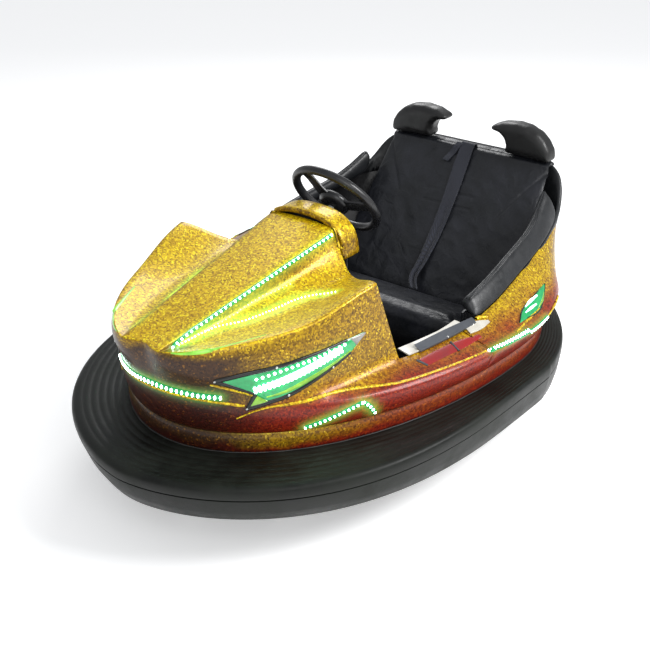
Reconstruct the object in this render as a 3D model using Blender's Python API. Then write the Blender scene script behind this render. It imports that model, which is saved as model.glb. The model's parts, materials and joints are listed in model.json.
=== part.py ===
"""A fairground bumper car: steel floor on three wheels, rubber ring, fibreglass body, bench seat.

Metres, +X forwards, +Y to the driver's left, +Z up. The origin is on the ground below the middle
of the rubber ring.
"""

from math import asin, cos, pi, radians, sin, sqrt

import bmesh
import bpy
from mathutils import Matrix, Vector

# Driving dimensions
GAP = 0.0003  # between pieces that touch
RUN_GAP = 0.006  # between pieces that move past each other

LENGTH = 1.744  # over the rubber ring
WIDTH = 1.280
WIDEST_X = -0.252  # every plan outline is widest here
RING_LOW = 0.148  # underside of the rubber ring
RING_EDGE = 0.270  # its outer top edge
RING_TOP = 0.277
RING_WALL = 0.018
PAD_GAP = 0.0008  # under the arm rests, whose seat is not quite flat
PAD_LIFT = 0.004  # under their inner edge

RUBBER_NOSE = 0.180  # depth of the rubber outside its steel band, at the nose
RUBBER_TAIL = 0.075
RUBBER_SIDE = 0.088
RIM_NOSE = LENGTH / 2 - WIDEST_X - RUBBER_NOSE  # reach of the steel band forwards of WIDEST_X
RIM_TAIL = LENGTH / 2 + WIDEST_X - RUBBER_TAIL  # reach rearwards
RIM_HALF = WIDTH / 2 - RUBBER_SIDE  # half width
RIM_WALL = 0.008
SKIRT_TOP = 0.334

FRAME_LOW = 0.110
FRAME_HALF = 0.300
FRAME_RAIL = 0.040
FLOOR_Z = 0.150
FLOOR_WALL = 0.004

BODY_WALL = 0.006
LEDGE_NOSE = 0.134  # how far the rubber stands out past the body, at the nose
LEDGE_TAIL = 0.035
LEDGE_SIDE = 0.048
BODY_NOSE = LENGTH / 2 - WIDEST_X - LEDGE_NOSE  # reach of the belt line forwards of WIDEST_X
BODY_TAIL = LENGTH / 2 + WIDEST_X - LEDGE_TAIL
BODY_HALF = WIDTH / 2 - LEDGE_SIDE
SIDE_LEAN = 0.120  # how far the side moulding leans in, from the belt to the sill
SIDE_HALF = BODY_HALF - SIDE_LEAN  # half width over the sills
TAIL_X = -LENGTH / 2 + 0.004
BELT_Z = 0.400
NOSE_BELT_Z = 0.456
SILL_Z = 0.430
SPLIT_X = -0.060  # joint between the front and rear mouldings
SEAM = 0.0015
LAMP_LIFT = 0.0012  # under the lenses, which bridge the facets of the skin
LAMP_WALL = 0.004
NOSE_Z = 0.588
HUMP_Z = 0.668
RIDGE_FOOT = 0.066  # half width of the bonnet ridge at the nose
RIDGE_HEAD = 0.116  # and at the cowl
RIDGE_Z = 0.717
VALLEY_SAG = 0.050  # of the bonnet between ridge and wing, at the cowl
TAIL_TOP_Z = 0.690

COWL_X = 0.090  # rear edge of the bonnet
HOOP_LENGTH = 0.070
HOOP_WALL = 0.012
HOOP_GAP = 0.0014  # behind the bonnet's rear edge, whose wall is not quite upright

REAR_WHEEL_R = 0.065
REAR_WHEEL_W = 0.040
REAR_WHEEL_X = -0.46
REAR_WHEEL_Y = 0.366
DRIVE_WHEEL_R = 0.100
DRIVE_WHEEL_W = 0.050
DRIVE_X = 0.360
DRIVE_SWEEP = 0.158  # radius that the steered unit needs
FORK_HEIGHT = 0.062  # of the steered fork above its wheel
BRIDGE_Z = 2 * DRIVE_WHEEL_R + FORK_HEIGHT

STEER_R = 0.1375  # middle of the steering wheel's rim
STEER_RIM = 0.0135
STEER_CENTRE = Vector((-0.068, 0, 0.730))
STEER_TILT = radians(54)  # of the column from upright
SHAFT_R = 0.010
COLUMN_R = 0.022
COLUMN_BORE = SHAFT_R + 0.0008

SEAT_INSET = 0.097  # from the sill's edge to the seat
SEAT_HALF = SIDE_HALF - SEAT_INSET
SEAT_FRONT_X = -0.135
SEAT_REAR_X = -0.500
SEAT_Z = 0.395  # top of the cushion at its front
SEAT_REAR_Z = 0.262
SEAT_BASE_Z = 0.220
BACK_TOP = Vector((TAIL_X + 0.044, 0, 0.697))
BACK_TOP_HALF = SIDE_HALF - 0.160
BACK_FOOT_HALF = SIDE_HALF - 0.110
BACK_THICK = 0.022

BATTERY_FRONT_X = TAIL_X + 0.261
BATTERY_REAR_X = TAIL_X + 0.162
BATTERY_HALF = 0.235
BATTERY_HEIGHT = 0.190

ARM_FRONT_X = -0.100
ARM_REAR_X = -0.762
ARM_RISE_X = -0.560  # where the arm rests start to sweep up to the head fins
ARM_WIDTH = 0.050
ARM_HEIGHT = 0.050
ARM_REAR_HEIGHT = 0.095
LINER_FRONT_X = -0.110
LINER_REAR_X = -0.580
LINER_WALL = 0.008
LINER_LOW_Z = 0.240
PLATE_FRONT_X = 0.150
PLATE_REAR_X = -0.085

COLOURS = {
    "gold": ((0.75, 0.47, 0.04), 0.3, 0.6),
    "rubber": ((0.02, 0.022, 0.02), 0.75, 0.0),
    "vinyl": ((0.025, 0.026, 0.03), 0.45, 0.0),
    "steel": ((0.25, 0.26, 0.27), 0.45, 0.9),
    "plate": ((0.75, 0.75, 0.74), 0.3, 0.9),
    "lamp": ((0.25, 0.85, 0.55), 0.2, 0.0),
    "plastic": ((0.02, 0.02, 0.022), 0.4, 0.0),
    "motor": ((0.10, 0.12, 0.14), 0.5, 0.5),
    "webbing": ((0.02, 0.025, 0.04), 0.85, 0.0),
}


# Helpers
def paint(name):
    found = bpy.data.materials.get(name)
    if found:
        return found
    colour, rough, metal = COLOURS[name]
    made = bpy.data.materials.new(name)
    made.use_nodes = True
    shader = made.node_tree.nodes["Principled BSDF"]
    shader.inputs["Base Color"].default_value = (*colour, 1)
    shader.inputs["Roughness"].default_value = rough
    shader.inputs["Metallic"].default_value = metal
    made.diffuse_color = (*colour, 1)
    return made


def add_object(name, bm, material, sharp_degrees=40):
    """Turn a finished bmesh into a scene object."""
    bmesh.ops.remove_doubles(bm, verts=bm.verts, dist=1e-5)
    bmesh.ops.recalc_face_normals(bm, faces=bm.faces)
    mesh = bpy.data.meshes.new(name)
    bm.to_mesh(mesh)
    bm.free()
    mesh.shade_smooth()
    mesh.set_sharp_from_angle(angle=radians(sharp_degrees))
    mesh.materials.append(paint(material))
    obj = bpy.data.objects.new(name, mesh)
    bpy.context.scene.collection.objects.link(obj)
    return obj


def cut(obj, cutter, operation="DIFFERENCE"):
    """Boolean with a hidden helper object."""
    modifier = obj.modifiers.new("cut_" + cutter.name, "BOOLEAN")
    modifier.operation = operation
    modifier.solver = "EXACT"
    modifier.object = cutter
    cutter.hide_render = True
    cutter.display_type = "WIRE"


def add_wall(obj, wall, offset=-1):
    modifier = obj.modifiers.new("wall", "SOLIDIFY")
    modifier.thickness = wall
    modifier.offset = offset


def hang(obj, parent, place):
    """Put an object's origin, and its parent empty's, on a joint axis."""
    obj.data.transform(Matrix.Translation(-Vector(place)))
    obj.parent = parent


def joint_empty(name, place):
    empty = bpy.data.objects.new(name, None)
    empty.location = place
    bpy.context.scene.collection.objects.link(empty)
    return empty


def loft(sections, closed=False):
    """A closed tube of rings with the same count, its ends capped unless it closes on itself."""
    bm = bmesh.new()
    rings = []
    for section in sections:
        verts = [bm.verts.new(p) for p in section]
        rings.append([bm.edges.new((a, b)) for a, b in zip(verts, verts[1:] + verts[:1])])
    pairs = list(zip(rings, rings[1:] + rings[:1])) if closed else list(zip(rings, rings[1:]))
    for first, second in pairs:
        bmesh.ops.bridge_loops(bm, edges=first + second)
    if not closed:
        bmesh.ops.contextual_create(bm, geom=rings[0])
        bmesh.ops.contextual_create(bm, geom=rings[-1])
    return bm


def box(name, low, high, material, bevel=0.0):
    low, high = Vector(low), Vector(high)
    bm = bmesh.new()
    bmesh.ops.create_cube(bm, size=1)
    bmesh.ops.scale(bm, vec=high - low, verts=bm.verts)
    bmesh.ops.translate(bm, vec=(low + high) / 2, verts=bm.verts)
    if bevel:
        bmesh.ops.bevel(
            bm, geom=bm.edges[:], offset=bevel, segments=2, affect="EDGES", profile=0.5
        )
    return add_object(name, bm, material)


def cylinder(name, radius, length, material, place, sides=32):
    bm = bmesh.new()
    bmesh.ops.create_cone(
        bm, cap_ends=True, segments=sides, radius1=radius, radius2=radius, depth=length
    )
    bmesh.ops.transform(bm, matrix=place, verts=bm.verts)
    return add_object(name, bm, material)


def turned(name, profile, material, place, steps=40):
    """A closed profile of (radius, height) spun about its own Z axis."""
    bm = bmesh.new()
    verts = [bm.verts.new((r, 0, z)) for r, z in profile]
    edges = [bm.edges.new((a, b)) for a, b in zip(verts, verts[1:] + verts[:1])]
    bmesh.ops.spin(
        bm,
        geom=verts + edges,
        cent=(0, 0, 0),
        axis=(0, 0, 1),
        angle=2 * pi,
        steps=steps,
        use_merge=True,
    )
    bmesh.ops.transform(bm, matrix=place, verts=bm.verts)
    return add_object(name, bm, material)


def prism(name, outline, depth, material, place, bevel=0.0):
    """An outline in its own XY plane, extruded along its Z, then placed by a matrix."""
    bm = bmesh.new()
    face = bm.faces.new([bm.verts.new((x, y, 0)) for x, y in outline])
    moved = bmesh.ops.extrude_face_region(bm, geom=[face])["geom"]
    bmesh.ops.translate(
        bm, vec=(0, 0, depth), verts=[v for v in moved if isinstance(v, bmesh.types.BMVert)]
    )
    if bevel:
        bmesh.ops.bevel(
            bm, geom=bm.edges[:], offset=bevel, segments=2, affect="EDGES", profile=0.5
        )
    bmesh.ops.transform(bm, matrix=place, verts=bm.verts)
    return add_object(name, bm, material)


def smooth(t):
    t = min(max(t, 0.0), 1.0)
    return t * t * (3 - 2 * t)


def mix(a, b, t):
    return a + (b - a) * t


def along(points, t):
    """Point at t of 0 to 1 on a smooth curve through points."""
    spans = len(points) - 1
    i = min(int(t * spans), spans - 1)
    t = t * spans - i
    p0, p1, p2, p3 = (points[min(max(k, 0), spans)] for k in (i - 1, i, i + 1, i + 2))
    square = 2 * p0 - 5 * p1 + 4 * p2 - p3
    cube = 3 * p1 - p0 - 3 * p2 + p3
    return 0.5 * (2 * p1 + (p2 - p0) * t + square * t**2 + cube * t**3)


# XZ plane outlines extruded to the driver's right, and YZ outlines extruded rearwards
SIDE_ON = Matrix(((1, 0, 0, 0), (0, 0, -1, 0), (0, 1, 0, 0), (0, 0, 0, 1)))
FRONT_ON = Matrix(((0, 0, 1, 0), (1, 0, 0, 0), (0, 1, 0, 0), (0, 0, 0, 1)))
AXLE_TURN = Matrix.Rotation(radians(90), 4, "X")


# Plan outlines
def plan(angle, nose, tail, half, nose_power=2.0, tail_power=2.0):
    """Point of an outline that reaches further forwards than rearwards."""
    c, s = cos(angle), sin(angle)
    reach, power = (nose, nose_power) if c >= 0 else (tail, tail_power)
    x = WIDEST_X + reach * abs(c) ** (2 / power) * (1 if c >= 0 else -1)
    y = half * abs(s) ** (2 / power) * (1 if s >= 0 else -1)
    return Vector((x, y, 0))


def ring_outer(angle):
    """Crease of the rubber ring: a blunt nose, a narrower round tail."""
    c, s = cos(angle), sin(angle)
    half = WIDTH / 2 * (1 if s >= 0 else -1)
    if c >= 0:
        along_nose = c ** (2 / 3.4)
        x = WIDEST_X + (LENGTH / 2 - WIDEST_X) * along_nose
        return Vector((x, half * abs(s) ** (2 / 1.7) * (1 - 0.03 * along_nose), 0))
    x = WIDEST_X - (LENGTH / 2 + WIDEST_X) * abs(c) ** (2 / 1.8)
    return Vector((x, half * abs(s) ** (2 / 1.85), 0))


def rim_line(angle, grow=0.0):
    return plan(angle, RIM_NOSE + grow, RIM_TAIL + grow, RIM_HALF + grow)


def ring_band(name, profile, material, steps=56):
    """A closed profile of (share of the way inwards, z) carried all the way round."""
    inner_grow = RIM_WALL / 2 + GAP
    rounds = []
    for i in range(steps):
        angle = 2 * pi * i / steps
        outer, inner = ring_outer(angle), rim_line(angle, inner_grow)
        rounds.append([outer.lerp(inner, t) + Vector((0, 0, z)) for t, z in profile])
    return add_object(name, loft(rounds, closed=True), material)


def rim_band(name, profile, material, steps=56):
    """A closed profile of (distance outside the rim line, z) carried all the way round."""
    rounds = []
    for i in range(steps):
        angle = 2 * pi * i / steps
        rounds.append([rim_line(angle, grow) + Vector((0, 0, z)) for grow, z in profile])
    return add_object(name, loft(rounds, closed=True), material)


# Chassis
def make_chassis():
    frame_front, frame_rear = 0.535, -0.66
    frame = box(
        "chassis_frame",
        (frame_rear, -FRAME_HALF, FRAME_LOW),
        (frame_front, FRAME_HALF, FLOOR_Z - GAP),
        "steel",
    )
    clear = DRIVE_SWEEP + RUN_GAP
    bays = [
        (frame_rear + FRAME_RAIL, -0.34),
        (-0.30, DRIVE_X - clear - FRAME_RAIL),
        (DRIVE_X - clear, DRIVE_X + clear),
    ]
    for i, (rear, front) in enumerate(bays):
        half = FRAME_HALF - FRAME_RAIL
        low, high = (rear, -half, FRAME_LOW - 0.05), (front, half, FLOOR_Z + 0.05)
        cut(frame, box(f"frame_bay_{i}", low, high, "steel"))

    steps = 56
    outline = [rim_line(2 * pi * i / steps, -RIM_WALL / 2 - GAP).xy for i in range(steps)]
    floor = prism("floor_pan", outline, FLOOR_WALL, "steel", Matrix.Translation((0, 0, FLOOR_Z)))
    hole = Matrix.Translation((DRIVE_X, 0, FLOOR_Z))
    cut(floor, cylinder("drive_hole", clear, 0.1, "steel", hole, 40))

    rim_band(
        "bumper_rim",
        [
            (-RIM_WALL / 2, FLOOR_Z),
            (RIM_WALL / 2, FLOOR_Z),
            (RIM_WALL / 2, RING_TOP),
            (-RIM_WALL / 2, RING_TOP),
        ],
        "steel",
    )


def make_ring():
    """Rubber ring of C section: ribbed top, rounded upper edge, side face leaning in below."""
    under = 0.26  # how far in the lower edge is, as a share of the breadth at the nose
    profile = [
        (1.0, RING_LOW),
        (under, RING_LOW),
        (0.12, 0.185),
        (0.03, 0.232),
        (0.0, RING_EDGE - 0.012),
        (0.02, RING_EDGE),
        (0.12, RING_TOP - 0.002),
        (0.5, RING_TOP),
        (1.0, RING_TOP),
        (1.0, RING_TOP - RING_WALL),
        (0.24, RING_TOP - RING_WALL - 0.004),
        (0.30, 0.195),
        (0.38, RING_LOW + RING_WALL),
        (1.0, RING_LOW + RING_WALL),
    ]
    ring_band("bumper_ring", profile, "rubber")


def make_skirt():
    low = RING_TOP + GAP
    half_wall = RIM_WALL / 2
    profile = [
        (-half_wall, low),
        (half_wall, low),
        (half_wall + 0.002, (low + SKIRT_TOP) / 2),
        (half_wall - 0.002, SKIRT_TOP - 0.004),
        (half_wall - 0.006, SKIRT_TOP),
        (-0.030, SKIRT_TOP),
        (-0.030, SKIRT_TOP - BODY_WALL),
        (-half_wall, SKIRT_TOP - BODY_WALL - 0.004),
    ]
    rim_band("lower_skirt", profile, "gold")


# Body skin
HOOD_END = radians(61.5)  # outline angle where the bonnet stops and the sill starts
REAR_PLAN = [  # upper edge of the rear moulding, from its widest place to the tail
    Vector((WIDEST_X, SIDE_HALF, 0)),
    Vector((-0.410, SIDE_HALF - 0.014, 0)),
    Vector((-0.550, SIDE_HALF - 0.032, 0)),
    Vector((-0.690, SIDE_HALF - 0.062, 0)),
    Vector((-0.800, SIDE_HALF - 0.098, 0)),
    Vector((TAIL_X + 0.018, SIDE_HALF - 0.150, 0)),
    Vector((TAIL_X, SIDE_HALF - 0.260, 0)),
    Vector((TAIL_X, 0, 0)),
]
EDGE_RISE = [  # height of that edge along the car
    Vector((-0.020, 0, SILL_Z)),
    Vector((-0.120, 0, 0.443)),
    Vector((-0.300, 0, 0.478)),
    Vector((-0.420, 0, 0.498)),
    Vector((-0.550, 0, 0.516)),
    Vector((-0.680, 0, 0.536)),
    Vector((-0.780, 0, 0.575)),
    Vector((TAIL_X, 0, TAIL_TOP_Z)),
]


def lip(angle):
    p = plan(angle, BODY_NOSE - 0.048, BODY_TAIL - 0.036, BODY_HALF - 0.032)
    return p + Vector((0, 0, SKIRT_TOP + GAP))


def turn_under(angle):
    p = plan(angle, BODY_NOSE - 0.028, BODY_TAIL - 0.018, BODY_HALF - 0.014, 1.92)
    return p + Vector((0, 0, SKIRT_TOP + 0.020))


def belt(angle):
    p = plan(angle, BODY_NOSE, BODY_TAIL, BODY_HALF, 1.8, 2.1)
    z = mix(NOSE_BELT_Z, BELT_Z, smooth(angle / radians(48)))
    return p + Vector((0, 0, z))


def top_line(angle):
    """Upper edge of the side moulding: the sill, then rising rearwards round the seat."""
    if angle <= pi / 2:
        p = plan(angle, BODY_NOSE - 0.004, BODY_TAIL, SIDE_HALF, 1.8)
    else:
        p = along(REAR_PLAN, (angle - pi / 2) / (pi / 2))
    z = EDGE_RISE[-1].z
    for front, rear in zip(EDGE_RISE, EDGE_RISE[1:]):
        if p.x >= rear.x:
            z = mix(front.z, rear.z, max((front.x - p.x) / (front.x - rear.x), 0))
            break
    return Vector((p.x, p.y, z))


def shoulder(angle):
    """A line just above the belt, which meets the sill where the bonnet ends."""
    if angle >= HOOD_END:
        return top_line(angle)
    above = plan(angle, BODY_NOSE - 0.004, BODY_TAIL, BODY_HALF - 0.012, 1.8)
    above.z = belt(angle).z + 0.035
    return above.lerp(top_line(angle), smooth(angle / HOOD_END) ** 3)


def crest(angle):
    """Top of the wing, from the nose to the hump beside the cowl."""
    share = angle / HOOD_END
    p = plan(angle * 62 / 61.5, 1.02, 1, 0.44 - 0.028 * share**3)
    notch = 0.030 * (1 - smooth(p.y / RIDGE_FOOT))
    z = NOSE_Z + 0.035 * share + (HUMP_Z - NOSE_Z - 0.035) * smooth((share - 0.72) / 0.28)
    return Vector((p.x - notch, p.y, z))


FOOT_ANGLE = asin(RIDGE_FOOT / 0.44)  # where the ridge's corner stands on the nose


def ridge_share(angle):
    start = cos(FOOT_ANGLE)
    return max((start - cos(angle)) / (start - cos(HOOD_END)), 0)


def ridge_edge(angle):
    if angle <= FOOT_ANGLE:
        return crest(angle)
    share = ridge_share(angle)
    corner = crest(FOOT_ANGLE)
    half = mix(RIDGE_FOOT, RIDGE_HEAD, share)
    return Vector((mix(corner.x, COWL_X, share), half, mix(corner.z, RIDGE_Z, share)))


def ridge_foot(angle):
    share = ridge_share(angle)
    return ridge_edge(angle) + Vector((0, 0.020 * share, -0.062 * sqrt(share)))


def ridge_middle(angle):
    edge = ridge_edge(angle)
    start = crest(0).x
    return Vector((mix(start, COWL_X, ridge_share(angle)), 0, edge.z + 0.008 * ridge_share(angle)))


def hood_keys(angle):
    """Points of one cross line of the bonnet, from the shoulder to the middle of the ridge."""
    side, top = shoulder(angle), crest(angle)
    foot, edge, middle = ridge_foot(angle), ridge_edge(angle), ridge_middle(angle)
    share = ridge_share(angle)
    out = Vector((top.x - WIDEST_X, top.y * 2.2, 0)).normalized()
    bulge = 0.016 * smooth(angle / radians(12)) * (1 - share)
    sag = VALLEY_SAG * share
    return [
        side,
        side.lerp(top, 0.5) + out * bulge,
        side.lerp(top, 0.86) + out * bulge * 0.8,
        top,
        top.lerp(foot, 0.15) + Vector((0, 0, -0.1 * sag)),
        top.lerp(foot, 0.45) + Vector((0, 0, -0.8 * sag)),
        top.lerp(foot, 0.75) + Vector((0, 0, -sag)),
        foot,
        edge,
        edge.lerp(middle, 0.5) + Vector((0, 0, 0.002 * share)),
        middle,
    ]


def front_rows(angle):
    return [lip(angle), turn_under(angle), belt(angle)] + hood_keys(angle)


def mirror_left(bm):
    """Add the right half of a left-hand skin."""
    geom = bm.verts[:] + bm.edges[:] + bm.faces[:]
    bmesh.ops.mirror(bm, geom=geom, matrix=Matrix(), merge_dist=1e-4, axis="Y")
    return bm


def add_rows(bm, rows):
    """Quads between rows of points."""
    lines = [[bm.verts.new(p) for p in row] for row in rows]
    for first, second in zip(lines, lines[1:]):
        for a, b, c, d in zip(first, first[1:], second[1:], second):
            bm.faces.new((a, b, c, d))


def outline_angle(x, line=belt):
    """Angle at which one of the outlines passes a place along the car."""
    low, high = 0.0, pi
    for _ in range(40):
        middle = (low + high) / 2
        if line(middle).x > x:
            low = middle
        else:
            high = middle
    return low


def rear_angles(steps=24):
    """Outline angles of the rear moulding's upright rows, from its front edge to the tail."""
    start = outline_angle(SPLIT_X) + SEAM / BODY_HALF
    return [mix(start, pi, i / steps) for i in range(steps + 1)]


def make_body():
    split = outline_angle(SPLIT_X)
    bm = bmesh.new()
    hood_steps, sill_steps = 11, 4
    hood_angles = [0, FOOT_ANGLE / 2]
    hood_angles += [mix(FOOT_ANGLE, HOOD_END, i / hood_steps) for i in range(hood_steps + 1)]
    add_rows(bm, [front_rows(angle) for angle in hood_angles])
    side = [
        [f(mix(HOOD_END, split, i / sill_steps)) for f in (lip, turn_under, belt, shoulder)]
        for i in range(sill_steps + 1)
    ]
    add_rows(bm, side)
    bmesh.ops.remove_doubles(bm, verts=bm.verts, dist=1e-5)
    bmesh.ops.dissolve_degenerate(bm, edges=bm.edges, dist=1e-5)
    front = add_object("front_body", mirror_left(bm), "gold", 50)
    add_wall(front, BODY_WALL)

    bm = bmesh.new()
    rear_rows = []
    for angle in rear_angles():
        low, high = belt(angle), top_line(angle)
        between = low.lerp(high, 0.5)
        rear_rows.append([lip(angle), turn_under(angle), low, between, high])
    add_rows(bm, rear_rows)
    rear = add_object("rear_body", mirror_left(bm), "gold", 50)
    add_wall(rear, BODY_WALL)


# Lamps on the skin
def skin_point(angle, row):
    """Point of the left-hand skin at an outline angle, between the rows of front_rows."""
    side = 1 if angle >= 0 else -1
    angle = abs(angle)
    if angle <= HOOD_END:
        rows = front_rows(angle)
    else:
        low, high = belt(angle), top_line(angle)
        rows = [lip(angle), turn_under(angle), low, low.lerp(high, 0.5), high]
    i = min(int(row), len(rows) - 2)
    p = rows[i].lerp(rows[i + 1], row - i)
    return Vector((p.x, p.y * side, p.z))


def skin_out(angle, row):
    step = 0.02
    along_it = skin_point(angle + step, row) - skin_point(angle - step, row)
    up_it = skin_point(angle, row + 0.2) - skin_point(angle, row - 0.2)
    out = along_it.cross(up_it).normalized()
    return out if out.dot(skin_point(angle, row) - Vector((WIDEST_X, 0, 0.3))) > 0 else -out


def skin_patch(name, angles, low_row, high_row, material, sign=1, across=3):
    """A thin lens over the skin: rows of it run from low_row(t) to high_row(t)."""
    sections = []
    for i, angle in enumerate(angles):
        t = i / (len(angles) - 1)
        rows = [mix(low_row(t), high_row(t), k / across) for k in range(across + 1)]
        inner = [skin_point(angle, r) + skin_out(angle, r) * LAMP_LIFT for r in rows]
        outer = [skin_point(angle, r) + skin_out(angle, r) * (LAMP_LIFT + LAMP_WALL) for r in rows]
        sections.append([Vector((p.x, p.y * sign, p.z)) for p in inner + outer[::-1]])
    return add_object(name, loft(sections), material)


def make_lamps():
    steps = 9
    head = [mix(radians(23), radians(55), i / steps) for i in range(steps + 1)]
    tail = [mix(radians(90), radians(103), i / 4) for i in range(5)]
    for side, sign in (("left", 1), ("right", -1)):
        skin_patch(
            f"headlight_{side}",
            head,
            lambda t: mix(2.35, 4.05, t),
            lambda t: mix(3.55, 4.15, t),
            "lamp",
            sign,
        )
        skin_patch(
            f"tail_light_{side}",
            tail,
            lambda t: mix(2.62, 3.20, t),
            lambda t: mix(2.95, 3.36, t),
            "lamp",
            sign,
        )
    strip = [radians(21.5) * (i - 8) / 8 for i in range(17)]
    skin_patch("front_light_strip", strip, lambda t: 2.42, lambda t: 2.62, "lamp", 1, 1)


# Cowl, dash and steering
def arch(half, top, low, count=13, power=2.6):
    """Half-round arch in YZ, open below, from the left foot over the top to the right foot."""
    points = []
    for i in range(count):
        a = pi * i / (count - 1)
        y = half * abs(cos(a)) ** (2 / power) * (1 if cos(a) >= 0 else -1)
        points.append((y, low + (top - low) * sin(a) ** (2 / power)))
    return points


def make_cowl():
    top, low, half = RIDGE_Z + 0.030, 0.628, RIDGE_HEAD + 0.036
    outer = arch(half, top, low)
    inner = arch(half - HOOP_WALL, top - HOOP_WALL, low)[::-1]
    place = Matrix.Translation((COWL_X - HOOP_GAP - HOOP_LENGTH, 0, 0)) @ FRONT_ON
    prism("cowl_hoop", outer + inner, HOOP_LENGTH, "gold", place)

    dash_x = COWL_X - 0.030
    reach = half - HOOP_WALL - GAP
    face = arch(reach, top - HOOP_WALL - GAP, low) + [(-reach, 0.560), (reach, 0.560)]
    dash = prism("dash_panel", face, 0.004, "steel", Matrix.Translation((dash_x, 0, 0)) @ FRONT_ON)
    cut(dash, cylinder("column_hole", COLUMN_R + GAP, 0.12, "steel", on_column(0.158), 32))


def column_axis():
    return Vector((sin(STEER_TILT), 0, -cos(STEER_TILT)))


def on_column(distance):
    """Placement whose Z runs down the steering column, this far from the wheel's centre."""
    turn = column_axis().to_track_quat("Z", "Y").to_matrix().to_4x4()
    return Matrix.Translation(STEER_CENTRE + column_axis() * distance) @ turn


def column_distance(x):
    return (x - STEER_CENTRE.x) / sin(STEER_TILT)


def make_steering():
    box_half = 0.045
    box_rear = DRIVE_X - box_half
    end = column_distance(box_rear) - COLUMN_R / sin(STEER_TILT) * cos(STEER_TILT) - GAP
    start = 0.052
    length = end - start
    middle = (start + end) / 2
    turned(
        "steering_column",
        [
            (COLUMN_BORE, -length / 2),
            (COLUMN_R, -length / 2),
            (COLUMN_R, length / 2),
            (COLUMN_BORE, length / 2),
        ],
        "steel",
        on_column(middle),
        32,
    )
    seat_z = STEER_CENTRE.z - cos(STEER_TILT) * column_distance(box_rear)
    box(
        "steering_box",
        (box_rear, -box_half, BRIDGE_Z + 0.006 + GAP),
        (DRIVE_X + box_half, box_half, seat_z + 0.035),
        "steel",
        0.004,
    )

    pivot = joint_empty("steering_wheel_axis", STEER_CENTRE)
    wheel = turned(
        "steering_wheel",
        [
            (STEER_R + STEER_RIM * cos(2 * pi * i / 10), STEER_RIM * sin(2 * pi * i / 10))
            for i in range(10)
        ],
        "plastic",
        on_column(0),
        36,
    )
    hub = cylinder("wheel_hub", 0.048, 0.026, "plastic", on_column(0.016), 28)
    cut(wheel, hub, "UNION")
    spoke_half = 0.017
    for name, angle in (("top", 180), ("left", 60), ("right", -60)):
        length = STEER_R
        outline = [
            (0.0, -spoke_half * 1.5),
            (length, -spoke_half),
            (length, spoke_half),
            (0.0, spoke_half * 1.5),
        ]
        place = on_column(0.002) @ Matrix.Rotation(radians(angle), 4, "Z")
        spoke = prism(f"spoke_{name}", outline, 0.009, "plastic", place)
        cut(wheel, spoke, "UNION")
    hang(wheel, pivot, STEER_CENTRE)

    shaft_start = 0.016 + 0.013 + GAP
    shaft_end = end - 0.004
    shaft_length = shaft_end - shaft_start
    shaft = cylinder(
        "steering_shaft",
        SHAFT_R,
        shaft_length,
        "steel",
        on_column((shaft_start + shaft_end) / 2),
        20,
    )
    hang(shaft, pivot, STEER_CENTRE)


# Wheels
def tyre_profile(radius, bore, width):
    h = width / 2
    return [
        (bore, -h * 0.8),
        (radius * 0.8, -h),
        (radius * 0.95, -h * 0.86),
        (radius, -h * 0.5),
        (radius, h * 0.5),
        (radius * 0.95, h * 0.86),
        (radius * 0.8, h),
        (bore, h * 0.8),
    ]


def hub_profile(radius, bore, width):
    h = width / 2
    return [
        (bore, -h),
        (radius * 0.5, -h),
        (radius, -h * 0.8),
        (radius, h * 0.8),
        (radius * 0.5, h),
        (bore, h),
    ]


def make_wheel(side, x, y, radius, width, bore, parent):
    """A tyre and its hub on one axle line."""
    centre = Vector((x, y, radius))
    place = Matrix.Translation(centre) @ AXLE_TURN
    rim = radius * 0.58
    tyre = turned(f"{side}_tyre", tyre_profile(radius, rim + GAP, width), "rubber", place)
    hub = turned(f"{side}_hub", hub_profile(rim, bore, width * 0.9), "steel", place, 28)
    hang(tyre, parent, centre)
    hang(hub, parent, centre)


def make_rear_wheels():
    cheek = 0.006
    pin_r = 0.008
    for side, sign in (("left", 1), ("right", -1)):
        y = sign * REAR_WHEEL_Y
        inner = REAR_WHEEL_W / 2 + RUN_GAP
        outer = inner + cheek
        low = REAR_WHEEL_R - 0.022
        top = FLOOR_Z - GAP
        outline = [
            (-outer, low),
            (-inner, low),
            (-inner, top - cheek),
            (inner, top - cheek),
            (inner, low),
            (outer, low),
            (outer, top),
            (-outer, top),
        ]
        half_length = 0.026
        place = Matrix.Translation((REAR_WHEEL_X - half_length, y, 0)) @ FRONT_ON
        prism(f"rear_bracket_{side}", outline, 2 * half_length, "steel", place)
        centre = Vector((REAR_WHEEL_X, y, REAR_WHEEL_R))
        place = Matrix.Translation(centre) @ AXLE_TURN
        cylinder(f"rear_pin_{side}", pin_r, 2 * (inner - GAP), "steel", place, 20)
        pivot = joint_empty(f"rear_wheel_{side}_axis", centre)
        make_wheel(
            f"rear_{side}", REAR_WHEEL_X, y, REAR_WHEEL_R, REAR_WHEEL_W, pin_r + 0.001, pivot
        )


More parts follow.
